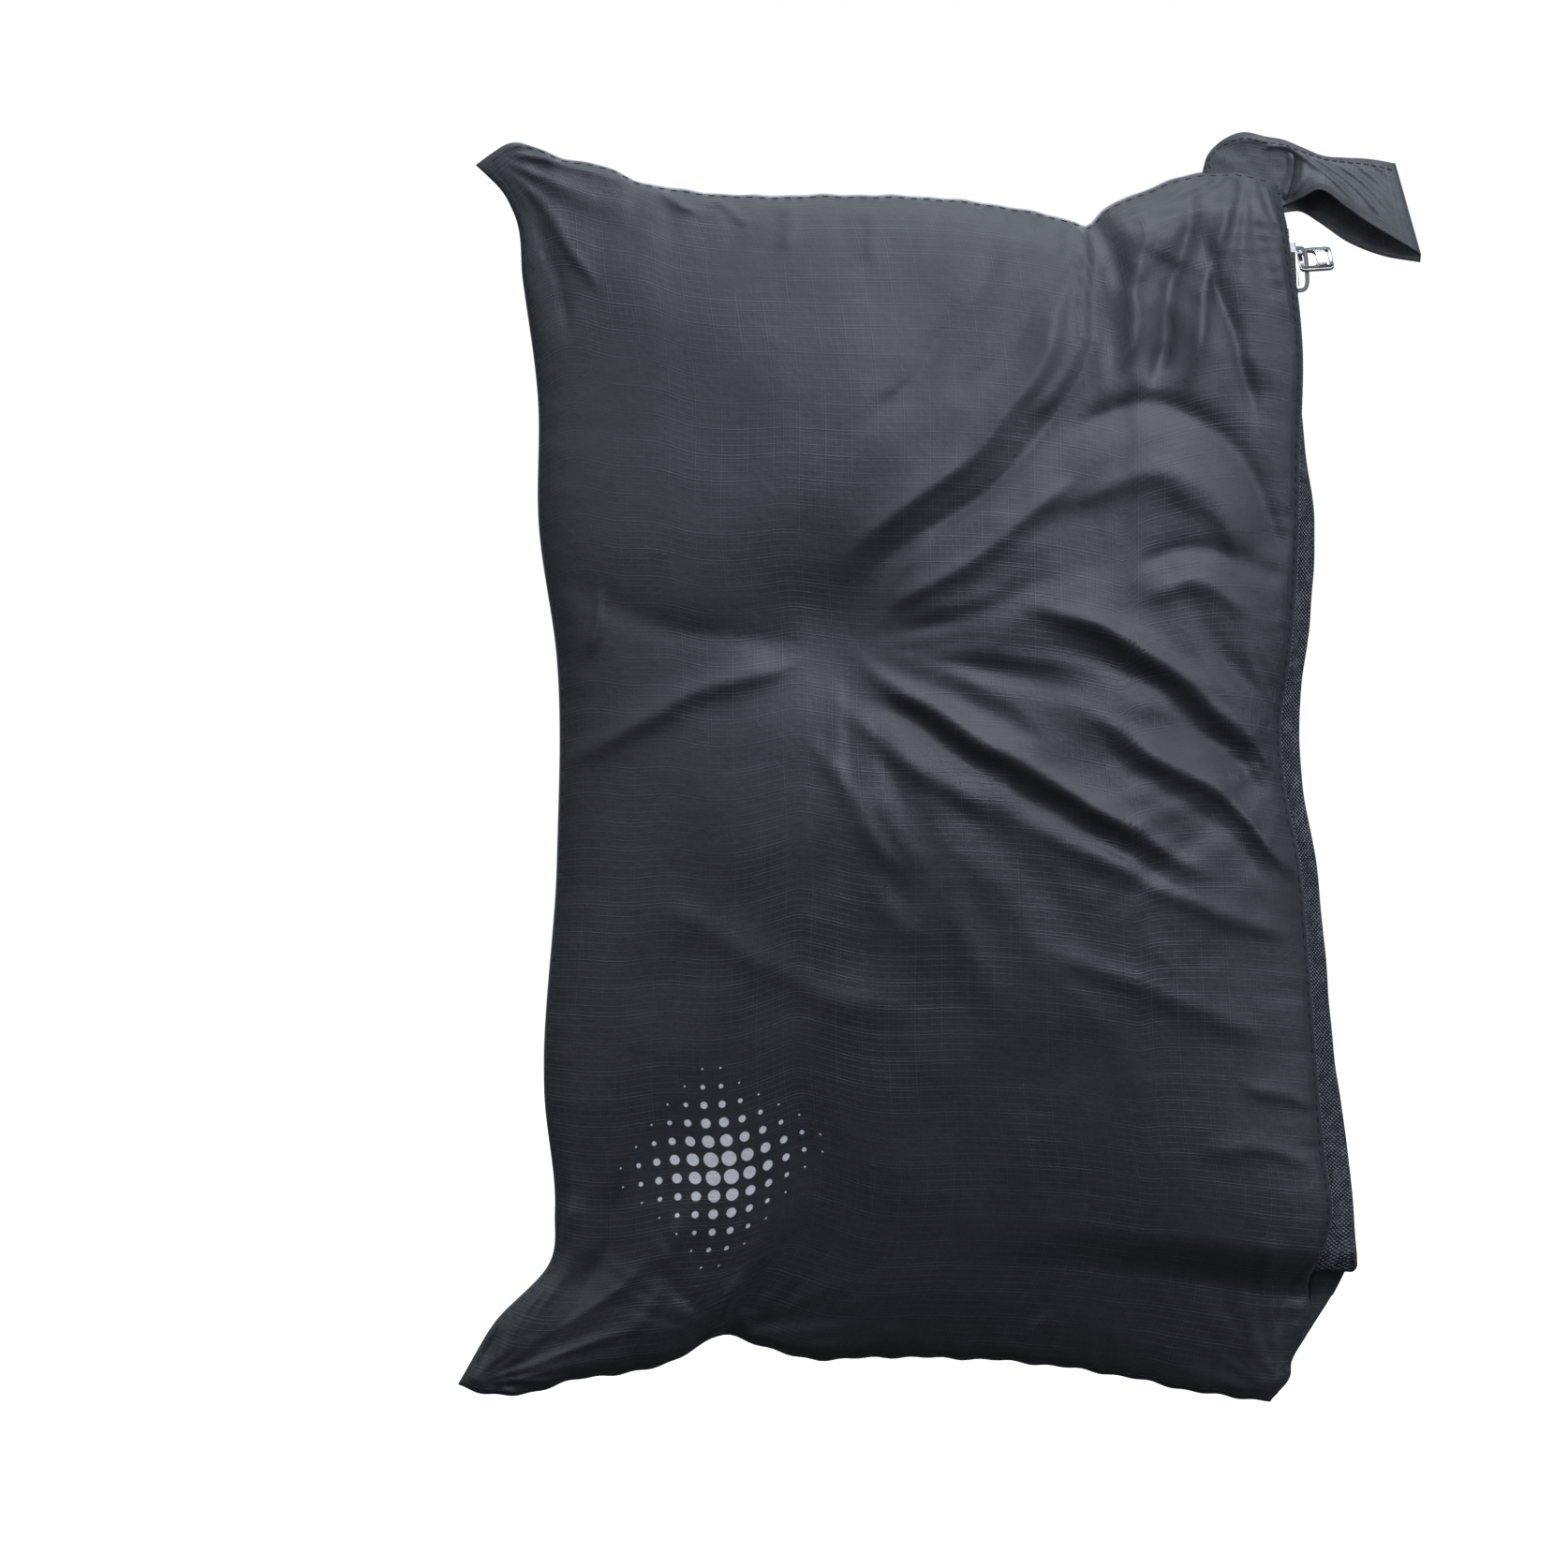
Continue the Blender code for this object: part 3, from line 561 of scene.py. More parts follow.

# %% [markdown]
# ## The folds
#
# A thumb-sized hollow in the middle of the front pulls the cloth towards it, so long soft folds
# run from it to the right side and up to the notch in the top seam. Short puckers stand along
# the seams, where the thread has gathered the cloth.
#
# A cloth simulation gives folds, but not where they should be. So each fold is laid one by one: a
# smooth path, a height, and a width on each side of it. A fold that is narrow on one side and
# wide on the other has the rolled look of cloth under tension. Puckers are many and small, so
# they come from noise that fades away from the seam.

# %% The folds of the front, in millimetres
FRONT_FOLDS = (
    # path, height, width above, width below
    (((-62, -100), (-42, -107.5), (-24, -118.5), (-11, -130), (1, -140)), 2.6, 7.5, 3.2),
    (((-58, -108), (-40, -115.5), (-24, -126), (-11, -137), (0, -146)), -1.9, 3.6, 6.0),
    (((-103, -111), (-87, -122), (-74, -130.5), (-57, -141), (-40, -151), (-16, -164)), 2.5, 6.0, 3.0),
    (((-103, -118), (-87, -128.5), (-74, -137), (-57, -147.5), (-40, -158), (-16, -171)), -1.8, 3.2, 6.0),
    (((-50, -123), (-28, -137), (-11, -147.5), (-2, -158), (5, -167)), 2.0, 5.0, 2.6),
    (((-46, -131), (-28, -143.5), (-12, -154), (-3, -165)), -1.2, 3.0, 5.0),
    (((-113, -130), (-104, -142), (-97, -153), (-89, -167)), 1.0, 4.5, 4.0),
    (((-106, -121), (-92, -135), (-81, -142), (-70, -150)), 1.1, 4.0, 3.0),
    (((-70, -147), (-37, -163), (-12, -173), (4, -179)), 1.1, 6.0, 4.5),
    (
        ((-100, -96), (-86, -84), (-68, -71.5), (-56, -57.5), (-48, -43), (-45.5, -30), (-45, -14)),
        *(-2.4, 5.0, 5.0),
    ),
    (((-104, -92), (-90, -77), (-74, -66), (-63, -52), (-55, -38), (-50, -20)), 1.7, 6.5, 4.5),
    (((-96, -102), (-80, -93), (-62, -80), (-50, -69)), 1.5, 4.5, 5.5),
    (((-60, -66), (-45, -57), (-31, -52.5), (-17, -58.5), (-8, -71), (-2, -85), (3, -92)), -2.3, 6.0, 7.5),
    (((-54, -77), (-40, -71), (-27, -69), (-16, -76), (-9, -88)), 1.2, 8.0, 9.0),
    (((-36, -91), (-24, -86.5), (-8, -90), (1, -96)), -1.5, 4.0, 4.5),
    (((-34, -98), (-20, -96), (-6, -102)), 1.1, 5.0, 4.0),
    (((-22, 0), (-23, -11), (-25, -22), (-29.5, -38), (-32, -50)), -4.4, 4.6, 5.0),
    (((-14, -1), (-16.5, -18), (-20, -33), (-24, -47)), 2.2, 4.0, 3.6),
    (((-33, -2), (-33, -15), (-35.5, -30), (-39, -47)), 2.0, 3.6, 3.6),
    (((-20, -10), (-15, -26), (-10.5, -42), (-6.7, -60)), -3.0, 3.8, 4.4),
    (((-47.4, -8), (-47.3, -18), (-48.4, -39), (-55, -51), (-60, -57)), 1.1, 3.0, 2.2),
    (((-43.5, -6), (-41, -14), (-37, -27)), -3.2, 2.2, 2.6),
    (((-40, -4), (-37.5, -11), (-34, -20)), 1.1, 2.0, 2.0),
    (((-49.5, -8), (-50.5, -13), (-52, -20)), -1.1, 1.8, 2.0),
    (((-62, -9), (-76, -31), (-87, -48), (-101, -62)), -1.3, 5.5, 5.0),
    (((-52, -22), (-65, -41), (-80, -53)), -0.9, 4.0, 4.0),
    (((-154, 2), (-146, -2), (-137, -6.5)), 1.3, 2.0, 2.6),
    (((-134, -3), (-130, -6), (-126, -10)), 1.0, 1.8, 2.2),
    (((-118, -3), (-117, -9), (-118, -17)), 0.8, 2.6, 2.6),
    (((-100, -4), (-97, -10), (-97, -20)), 0.7, 3.0, 3.0),
    (((-180, 1), (-176, -10), (-171, -22), (-168, -38)), -2.6, 5.5, 5.5),
    (((-187, 7), (-178, -1), (-169, -12), (-160, -28)), 1.3, 3.6, 3.6),
    (((-166, -228), (-170, -250), (-180, -264), (-190, -277)), 2.0, 5.0, 4.0),
    (((-155, -232), (-160, -252), (-168, -266), (-180, -279)), -1.6, 4.0, 5.0),
    (((-140, -240), (-146, -258), (-154, -272)), 0.9, 5.0, 4.0),
    (((-132, -273), (-131, -266), (-128, -256)), 1.4, 2.2, 2.4),
    (((-137, -276), (-138, -268), (-137, -260)), -1.1, 2.4, 2.4),
    (((-161, -96), (-161.5, -103), (-163, -112)), 1.0, 1.6, 2.4),
    (((-172, -92), (-150, -104), (-128, -108), (-112, -108)), -1.2, 8.0, 7.0),
    (((-172, -140), (-150, -127), (-130, -118), (-114, -112)), 1.3, 6.0, 5.0),
    (((-30, -70), (-18, -78), (-11, -90)), 0.8, 5.0, 5.0),
    (((-58, -178), (-30, -190), (-4, -200)), 0.9, 9.0, 7.0),
    (((-12, -212), (0, -214), (9, -219)), 0.9, 4.0, 3.0),
    (((-20, -226), (-4, -228), (9, -233)), 0.8, 5.0, 4.0),
    (((-150, -168), (-118, -186), (-88, -196)), 0.7, 12.0, 10.0),
    (((8, -252), (2, -262), (-2, -274)), -1.6, 3.0, 3.2),
    (((-2, -246), (-6, -262), (-8, -280)), 1.2, 4.0, 4.0),
    (((-52, -266), (-60, -272), (-64, -279)), 0.8, 3.0, 3.0),
    (((-92, -268), (-94, -273), (-96, -278)), 0.9, 2.6, 2.6),
)
HOLLOW_AT = (-105.0, -107.0)
HOLLOW_RADIUS = 22.0
HOLLOW_DEPTH = 6.5
print("folds on the front:", len(FRONT_FOLDS))

# %% The folds of the back, in millimetres
BACK_FOLDS = (
    (((-170, -40), (-140, -62), (-112, -74), (-84, -78)), 1.5, 6.0, 4.0),
    (((-172, -52), (-142, -72), (-112, -84), (-86, -88)), -1.2, 4.0, 6.0),
    (((-4, -120), (-26, -132), (-50, -138), (-72, -139)), 1.6, 6.0, 3.6),
    (((-2, -132), (-26, -142), (-50, -147), (-74, -148)), -1.2, 3.6, 6.0),
    (((2, -170), (-22, -176), (-46, -186), (-64, -198)), 1.2, 6.0, 5.0),
    (((-26, -2), (-30, -22), (-40, -40), (-54, -54)), -2.2, 4.6, 5.0),
    (((-45, -8), (-52, -30), (-66, -48), (-84, -58)), 1.5, 4.6, 4.6),
    (((-12, -6), (-16, -24), (-20, -44)), 1.2, 4.0, 4.0),
    (((-166, -226), (-170, -250), (-180, -264), (-190, -277)), 1.8, 5.0, 4.0),
    (((-154, -234), (-160, -252), (-168, -266), (-180, -279)), -1.5, 4.0, 5.0),
    (((-180, 1), (-176, -10), (-171, -22), (-168, -38)), -1.6, 5.0, 5.0),
    (((-130, -272), (-124, -256), (-112, -240)), 1.3, 3.6, 4.0),
    (((8, -236), (-10, -238), (-30, -246)), 1.2, 5.0, 4.0),
    (((-92, -4), (-96, -18), (-104, -32)), 0.9, 4.0, 4.0),
    (((-168, -150), (-148, -156), (-126, -158)), 1.1, 6.0, 5.0),
)
print("folds on the back:", len(BACK_FOLDS))


# %% Where the cloth is pulled together
FRONT_PULLS = (
    # centre, which way the creases run in degrees, spokes, height, near, reach
    ((-104, -110), -20, 3.8, 2.6, 24, 95),
    ((-45.5, -9), -60, 3.2, 1.3, 12, 56),
    ((-8, 6), -95, 3.0, 1.8, 14, 54),
    ((-188, 8), -50, 3.0, 1.6, 10, 34),
    ((-192, -284), 50, 3.4, 2.2, 12, 56),
    ((-132, -272), 80, 3.5, 2.0, 7, 30),
    ((0, -286), 130, 2.6, 1.2, 14, 40),
    ((4, -134), 180, 4.0, 2.2, 9, 50),
)
BACK_PULLS = (
    ((-45.5, -9), -90, 4.0, 3.0, 10, 54),
    ((4, -134), 180, 5.0, 2.8, 8, 70),
    ((-1, 2), -120, 4.5, 2.6, 9, 44),
    ((-188, 8), -50, 3.0, 2.0, 10, 40),
    ((-192, -284), 50, 4.0, 2.8, 10, 56),
    ((-132, -272), 80, 3.5, 2.2, 7, 30),
    ((0, -286), 130, 4.0, 2.4, 10, 40),
)
print("pulls:", len(FRONT_PULLS), "in front and", len(BACK_PULLS), "behind")

# %% How a fold lifts the cloth
FOLD_SAMPLES = 28
FOLD_LIFT = 1.32
FOLD_NARROW = 0.78
POINTED = 0.55  # a fold narrows to this share of its width at its ends
STEEP = 0.68  # the lower flank of a raised fold drops more steeply than the upper one
VALLEY = 0.75  # the depth of a valley, where a ridge of the same number has a height of 1
TAPER_RATE = 4  # a fold comes to its full height over about a quarter of its length
TAPER_START = 0.15


def fold_height(x, z, fold):
    """The lift that one fold gives at each point, in millimetres."""
    path, height, above, below = fold
    line = np.stack(by_number(path, np.linspace(0, len(path) - 1, FOLD_SAMPLES)), axis=1)
    best = np.full(x.shape, 1e9)
    side = np.zeros(x.shape)
    along = np.zeros(x.shape)
    for index in range(FOLD_SAMPLES - 1):
        start, step = line[index], line[index + 1] - line[index]
        length = math.hypot(*step)
        dx, dz = x - start[0], z - start[1]
        share = np.clip((dx * step[0] + dz * step[1]) / length**2, 0, 1)
        gap = np.hypot(dx - share * step[0], dz - share * step[1])
        nearer = gap < best
        best = np.where(nearer, gap, best)
        side = np.where(nearer, (step[0] * dz - step[1] * dx) / length, side)
        along = np.where(nearer, (index + share) / (FOLD_SAMPLES - 1), along)
    lean = smooth_step(side / (above + below) + 0.5)
    steep = below * (STEEP if height > 0 else 1)
    taper = smooth_step(along * TAPER_RATE + TAPER_START)
    taper = taper * smooth_step((1 - along) * TAPER_RATE + TAPER_START)
    width = (steep + (above - steep) * lean) * (POINTED + (1 - POINTED) * taper)
    lift = FOLD_LIFT * (height if height > 0 else height * VALLEY)
    return lift * taper * crest(best / (width * FOLD_NARROW))


def folds_height(x, z, folds):
    total = np.zeros(x.shape)
    for fold in folds:
        total += fold_height(x, z, fold)
    return total


crest_lift = fold_height(np.array([-42.0]), np.array([-107.5]), FRONT_FOLDS[0])
print("a fold at its crest:", float(crest_lift[0]))

# %% [markdown]
# ## The two panels
#
# Each panel is one cloth with its edges sewn down and its middle pushed out by the clothing
# inside, like half a pillow. It rises steeply from the seams and is nearly flat in the middle.
#
# A cube blown up by a simulation would give a round cushion with no ears. A flat grid whose
# points are set by the outline and by a depth over the seam plane keeps the ears, the notches and
# the folds where they belong. The grid is closer near the seams, where the puckers are. A thin
# wall turns it into cloth.

# %% Depth of a panel
PANEL_COLUMNS = 174
PANEL_ROWS = 268
CREASE_EASE = 0.45  # how far a point moves towards the mean of its neighbours
SEAM_Y = 0.25  # half the seam, in millimetres
SEAM_INSET = 1.5  # from a panel's edge on the zip to its stitches
STITCH_DIMPLE = 0.35  # how far each of those stitches draws the cloth in
CLOTH = 0.00025
CLOTH_WIDTH = 190  # a panel's mean width and height, and its height along the zip
CLOTH_HEIGHT = 290
ZIP_HEIGHT = 288
ARCH_ACROSS, ARCH_DOWN = 0.56, 0.52  # 1 gives a plain arch, and less a flatter, fuller one
WANDER, WANDER_SCALE = 2.2, 16  # how far a laid fold strays from its path, and how often
zip_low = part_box("zipper_end_tab")[0].z / MM
front_depth = -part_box("front_panel")[0].y / MM
back_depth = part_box("back_panel")[1].y / MM
print("depth of the two halves:", round(front_depth, 2), round(back_depth, 2))


BAND_EDGE = 7.0  # from the middle of the zip to a panel's sewn edge
OPENS_OVER = 13  # how far below the top seam the zip has its full width
CLOSES_BELOW, CLOSES_OVER = 9, 12  # where it begins to close under its end, and over what height


def zip_opening(z):
    """How far the zip holds a panel's right edge from the seam plane."""
    top = smooth_step((TOP_SEAM[-1][1] - z) / OPENS_OVER)
    bottom = smooth_step((z - zip_low + CLOSES_BELOW) / CLOSES_OVER)
    return (BAND_EDGE - SEAM_Y) * top * bottom


def small_noise(x, z, scale, seed):
    """Soft noise from -1 to 1, the same on each run."""
    flat = [noise.noise(Vector((u / scale, v / scale, seed))) for u, v in zip(x.ravel(), z.ravel())]
    return np.array(flat).reshape(x.shape)


def gathers(x, z, centre, towards, spokes, height, near, reach, seed):
    """Creases that run out to one side from a place where the cloth is pulled together."""
    dx, dz = x - centre[0], z - centre[1]
    radius = np.hypot(dx, dz) + 0.01
    turn_x, turn_z = dx / radius * spokes, dz / radius * spokes
    flat = [
        noise.noise(Vector((u, v, w + seed))) + 0.5 * noise.noise(Vector((2.1 * u, 2.1 * v, 1.5 * w - seed)))
        for u, v, w in zip(turn_x, turn_z, radius / 38)
    ]
    ridges = 0.32 - np.abs(np.array(flat))
    ahead = (dx * math.cos(math.radians(towards)) + dz * math.sin(math.radians(towards))) / radius
    fade = smooth_step(0.35 + ahead) * smooth_step(radius / near) * np.exp(-((radius / reach) ** 2))
    return height * ridges * fade


def puckers(x, z, edge_distance, along, pitch, height, reach, seed):
    """Short folds that stand square to a seam and fade out away from it."""
    seam_noise = 0.7 - 2.2 * np.abs(small_noise(along, edge_distance * 0.16, pitch, seed))
    strength = small_noise(along, np.zeros(along.shape), pitch * 5, seed + 7) * 0.6 + 0.8
    return height * seam_noise * strength * np.exp(-edge_distance / reach)


def panel_depth(a, b, x, z, bulge, folds, pulls, hollow, seed):
    """The depth of the cloth over the seam plane, in millimetres."""
    round_x = np.sin(math.pi * a).clip(0) ** ARCH_ACROSS
    round_z = np.sin(math.pi * b).clip(0) ** ARCH_DOWN
    depth = bulge * round_x * round_z
    depth -= hollow * bell(np.hypot(x - HOLLOW_AT[0], (z - HOLLOW_AT[1]) * 1.1) / HOLLOW_RADIUS)
    slack = (round_x * round_z).clip(0, 1) ** 0.5
    left, right = a * CLOTH_WIDTH, (1 - a) * CLOTH_WIDTH
    top, bottom = b * ZIP_HEIGHT, (1 - b) * ZIP_HEIGHT
    bent_x = x + small_noise(x, z, WANDER_SCALE, seed + 8) * WANDER
    bent_z = z + small_noise(x, z, WANDER_SCALE, seed + 10) * WANDER
    lift = folds_height(bent_x, bent_z, folds) * np.minimum(slack * 1.25, 1)
    for number, pull in enumerate(pulls):
        lift += gathers(x, z, *pull, seed + 2 * number)
    lift += puckers(x, z, right, z, 4.5, 0.8, 7.0, seed)
    lift += puckers(x, z, left, z, 9.0, 0.4, 7.0, seed + 1)
    lift += puckers(x, z, top, x, 6.0, 1.0, 7.0, seed + 2)
    lift += puckers(x, z, bottom, x, 5.0, 1.5, 9.0, seed + 3)
    lift += small_noise(x, z, 34, seed + 4) * 0.9 * slack
    lift += small_noise(x * 0.8 + z * 0.6, z * 0.8 - x * 0.6, 17, seed + 5) * 0.45 * slack
    dimple = STITCH_DIMPLE * bell(right - SEAM_INSET)
    lift -= dimple * (0.5 + 0.5 * np.cos(math.tau * z / STITCH_PITCH))
    edge = np.minimum(np.minimum(left, right), np.minimum(top, bottom))
    depth = depth + lift * smooth_step(edge / 3.5)
    # the height along the zip, so that b = 0, the whole top seam, stays shut
    zip_z = (1 - b) * TOP_SEAM[-1][1] + b * BOTTOM_SEAM[-1][1]
    return SEAM_Y + np.maximum(depth, 0.05) + zip_opening(zip_z) * smooth_step(2 * a - 1)


# %% Build the panels
def object_from(name, shape, finish_of, smooth_angle=60):
    """Turns a bmesh into a finished object with one material."""
    mesh = bpy.data.meshes.new(name)
    shape.to_mesh(mesh)
    shape.free()
    mesh.shade_smooth()
    mesh.set_sharp_from_angle(angle=math.radians(smooth_angle))
    made = add_to_scene(name, mesh)
    made.data.materials.append(finish_of)
    return made


def cloth_wall(made, thickness, offset=-1):
    wall = made.modifiers.new("cloth_wall", "SOLIDIFY")
    wall.thickness = thickness
    wall.offset = offset
    return made


def on_the_sack(made, slot, *cad_nodes):
    """The piece moves with the sack and stands for these nodes, which are hidden. The slot is not used."""
    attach(made, "sack")
    if cad_nodes:
        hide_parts(*cad_nodes)
    return made


def grid_shape(columns, rows):
    """A flat grid, one unit square, with a layer for the cloth's own coordinates."""
    shape = bmesh.new()
    shape.loops.layers.uv.new("cloth")
    bmesh.ops.create_grid(shape, x_segments=columns, y_segments=rows, size=0.5)
    return shape


def lay_grid(shape, points, flat):
    """Moves each point of a grid to its place and writes its flat coordinates, in metres."""
    layer = shape.loops.layers.uv["cloth"]
    for vertex, point in zip(shape.verts, points):
        vertex.co = point
    shape.verts.index_update()
    for face in shape.faces:
        for loop in face.loops:
            loop[layer].uv = flat[loop.vert.index]


def grid_shares(shape):
    """The two shares of each point of a unit grid: across, and down from the top."""
    places = np.array([vertex.co for vertex in shape.verts])
    return places[:, 0] + 0.5, 0.5 - places[:, 1]


def stretch_share(even):
    """Draws the rows of a grid closer towards its edges."""
    return 0.30 * even + 0.70 * (1 - np.cos(math.pi * even)) / 2


def without_teeth(depth):
    """Moves each inner point a little towards its four neighbours, where a crease runs askew."""
    grid = depth.reshape(PANEL_ROWS + 1, PANEL_COLUMNS + 1).copy()
    around = grid[:-2, 1:-1] + grid[2:, 1:-1] + grid[1:-1, :-2] + grid[1:-1, 2:]
    grid[1:-1, 1:-1] += CREASE_EASE * (around / 4 - grid[1:-1, 1:-1])
    return grid.ravel()


def fabric_panel(word, side, bulge, folds, pulls, hollow, seed, finish_of):
    """One half of the sack: side is -1 at the front and 1 at the back."""
    shape = grid_shape(PANEL_COLUMNS, PANEL_ROWS)
    even_a, even_b = grid_shares(shape)
    a, b = stretch_share(even_a), stretch_share(even_b)
    x, z = outline_place(a, b)
    depth = without_teeth(panel_depth(a, b, x, z, bulge, folds, pulls, hollow, seed))
    flat = in_metres((a - 1) * CLOTH_WIDTH, b * -CLOTH_HEIGHT)
    lay_grid(shape, in_metres(x, side * depth, z), flat)
    if side > 0:
        bmesh.ops.reverse_faces(shape, faces=shape.faces)
    made = object_from(f"{word}_cloth", shape, finish_of, 180)
    cloth_wall(made, CLOTH)
    return on_the_sack(made, "ripstop", f"{word}_panel")


FOLD_ROOM = 1.2  # left for the folds between the plain bulge and the model's depth
FRONT = (front_depth - FOLD_ROOM, FRONT_FOLDS, FRONT_PULLS, HOLLOW_DEPTH, 3.0)
BACK = (back_depth - FOLD_ROOM, BACK_FOLDS, BACK_PULLS, 0.0, 11.0)
front = fabric_panel("front", -1, *FRONT, printed)
back = fabric_panel("back", 1, *BACK, ripstop)
print("front:", len(front.data.polygons), "faces; back:", len(back.data.polygons), "faces")

# %% [markdown]
# ## The clothing inside
#
# The sack is full of soft clothing. None of it shows, but the cloth rests on it, and a cut
# through the sack should find it there. A block would do for the weight; here the load takes the
# inside of both panels, a little short of the cloth and of the seams, so it fills the real space.

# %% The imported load
LOAD_COLUMNS = 48
LOAD_ROWS = 72
LOAD_INSET = 0.045  # share of the width and of the height that stays empty at each seam
LOAD_GAP = 3.2  # between the load and the cloth, in millimetres


def packed_clothing():
    shape = bmesh.new()
    bmesh.ops.create_grid(shape, x_segments=LOAD_COLUMNS, y_segments=LOAD_ROWS, size=0.5)
    swept = bmesh.ops.extrude_face_region(shape, geom=shape.faces[:])
    copied = [item for item in swept["geom"] if isinstance(item, bmesh.types.BMVert)]
    bmesh.ops.translate(shape, verts=copied, vec=(0, 0, 1))
    even_a, even_b = grid_shares(shape)
    a = LOAD_INSET + (1 - 2 * LOAD_INSET) * even_a
    b = LOAD_INSET + (1 - 2 * LOAD_INSET) * even_b
    x, z = outline_place(a, b)
    near = LOAD_GAP - panel_depth(a, b, x, z, *FRONT)
    far = panel_depth(a, b, x, z, *BACK) - LOAD_GAP
    for vertex, px, py_near, py_far, pz in zip(shape.verts, x, near, far, z):
        vertex.co = Vector((px, py_far if vertex.co.z > 0.5 else py_near, pz)) * MM
    bmesh.ops.recalc_face_normals(shape, faces=shape.faces)
    return on_the_sack(object_from("packed_clothing", shape, filling), "filling", "packed_load")


load = packed_clothing()
print("load:", len(load.data.polygons), "faces")

# %% [markdown]
# ## The zip
#
# Each panel is sewn to a knitted tape, and each tape carries a row of nylon teeth on its edge.
# The tape stands out past the panel, so a narrow strip of knit shows down the side of the sack.
# The soft zip isn't quite straight: it is drawn in beside the hollow.
#
# The teeth of a coil zip are one long nylon line bent into loops. A true spiral of that length
# would take a great many faces. Each loop is a small rounded bar instead, made once and copied
# down the zip, with the two rows set half a step apart so that they mesh.

# %% Where the zip runs
zip_axis = next(joint for joint in frame["joints"] if joint["name"] == "slider_travel")["axis"]
zip_slope = -zip_axis[0] / zip_axis[2]
coil_low, coil_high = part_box("zipper_coil_front")
TEETH_BASE = 0.55  # from the tape's middle to the foot of the teeth
TEETH_HEIGHT = 1.4
ROW_WIDTH = 1.9
PITCH = 1.25
line_top_x = coil_low.x / MM - TEETH_BASE
line_top_z = coil_high.z / MM


def zip_centre(z):
    """The x of the middle of the zip's tapes at height z, in millimetres."""
    return line_top_x + (line_top_z - z) * zip_slope + through(sorted(ZIP_WAVE), z)


def panel_edge(z):
    """The x of the panels' edge beside the zip at height z, in millimetres."""
    top, low = TOP_SEAM[-1][1], BOTTOM_SEAM[-1][1]
    return down_share(RIGHT_SEAM, (z - top) / (low - top))


print("zip at its ends:", float(zip_centre(np.array([-10.0]))[0]), float(zip_centre(np.array([-250.0]))[0]))

# %% The tapes
TAPE_ROWS = 300
TAPE_THICK = 0.00045
tape_top = -1.0
slider_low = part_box("slider_body")[0].z / MM
tape_low = zip_low - 2.5
TAPE_SECTION = (
    # share of the way from the teeth in to the panel's edge, share of the way across, out by
    (0.0, 0.07, 0.0),
    (0.0, 0.35, 0.0),
    (0.0, 0.62, 0.1),
    (0.0, 0.70, 1.3),
    (0.0, 0.78, 1.9),
    (0.10, 0.86, 1.75),
    (0.38, 0.93, 1.0),
    (0.72, 0.965, 0.4),
    (1.0, 0.99, 0.0),
    (1.0, 1.02, -2.2),
    (1.0, 1.10, -4.4),
)
# across the tape's own cloth, from the teeth to each of those points
TAPE_REACH = (0, 2.0, 3.9, 5.2, 6.1, 7.0, 8.3, 9.8, 11.2, 13.2, 15.4)


def zip_tape(word, side):
    """A tape from the teeth to under its panel's edge."""
    columns = len(TAPE_SECTION) - 1
    shape = grid_shape(columns, TAPE_ROWS)
    share_across, share_down = grid_shares(shape)
    z = tape_top + (tape_low - tape_top) * share_down
    centre = zip_centre(z)
    edge_x = panel_edge(z)
    half = SEAM_Y + zip_opening(z)
    index = np.round(share_across * columns).astype(int)
    inwards, away, out = np.array(TAPE_SECTION)[index].T
    below_slider = smooth_step((slider_low - 4 - z) / 10)
    slack = below_slider * smooth_step((z - zip_low + 4) / 3)
    sway = small_noise(z, index * 0.5, 11, 20.0 + side) * 0.35 * away
    x = centre + inwards * (edge_x - centre) + np.where(out > 0, out * slack, out) + sway * (inwards < 0.9)
    y = side * half * away
    reach = np.array(TAPE_REACH)[index]
    lay_grid(shape, in_metres(x, y, z), in_metres(reach, z))
    if side < 0:
        bmesh.ops.reverse_faces(shape, faces=shape.faces)
    made = cloth_wall(object_from(f"knit_tape_{word}", shape, knit, 180), TAPE_THICK)
    return on_the_sack(made, "tape", f"zipper_tape_{word}")


tapes = [zip_tape(word, side) for word, side in (("front", -1), ("back", 1))]
print("tapes:", [len(tape.data.polygons) for tape in tapes], "faces")


# %% A small bar, made once and copied
def rounded_bar(name, half_sizes, segments, rings):
    """A small bar along Y with full round ends; the sizes are in millimetres."""
    shape = bmesh.new()
    bmesh.ops.create_uvsphere(shape, u_segments=segments, v_segments=rings, radius=1)
    for vertex in shape.verts:
        blunt = math.copysign(abs(vertex.co.z) ** 0.5, vertex.co.z)
        place = (vertex.co.x * half_sizes[0], blunt * half_sizes[1], vertex.co.y * half_sizes[2])
        vertex.co = Vector(place) * MM
    bmesh.ops.recalc_face_normals(shape, faces=shape.faces)
    bar = bpy.data.meshes.new(name)
    shape.to_mesh(bar)
    shape.free()
    return bar


def add_copy(shape, bar, place):
    """Adds a copy of a bar to a bmesh, moved by a matrix."""
    copy = bar.copy()
    copy.transform(place)
    shape.from_mesh(copy)
    bpy.data.meshes.remove(copy)


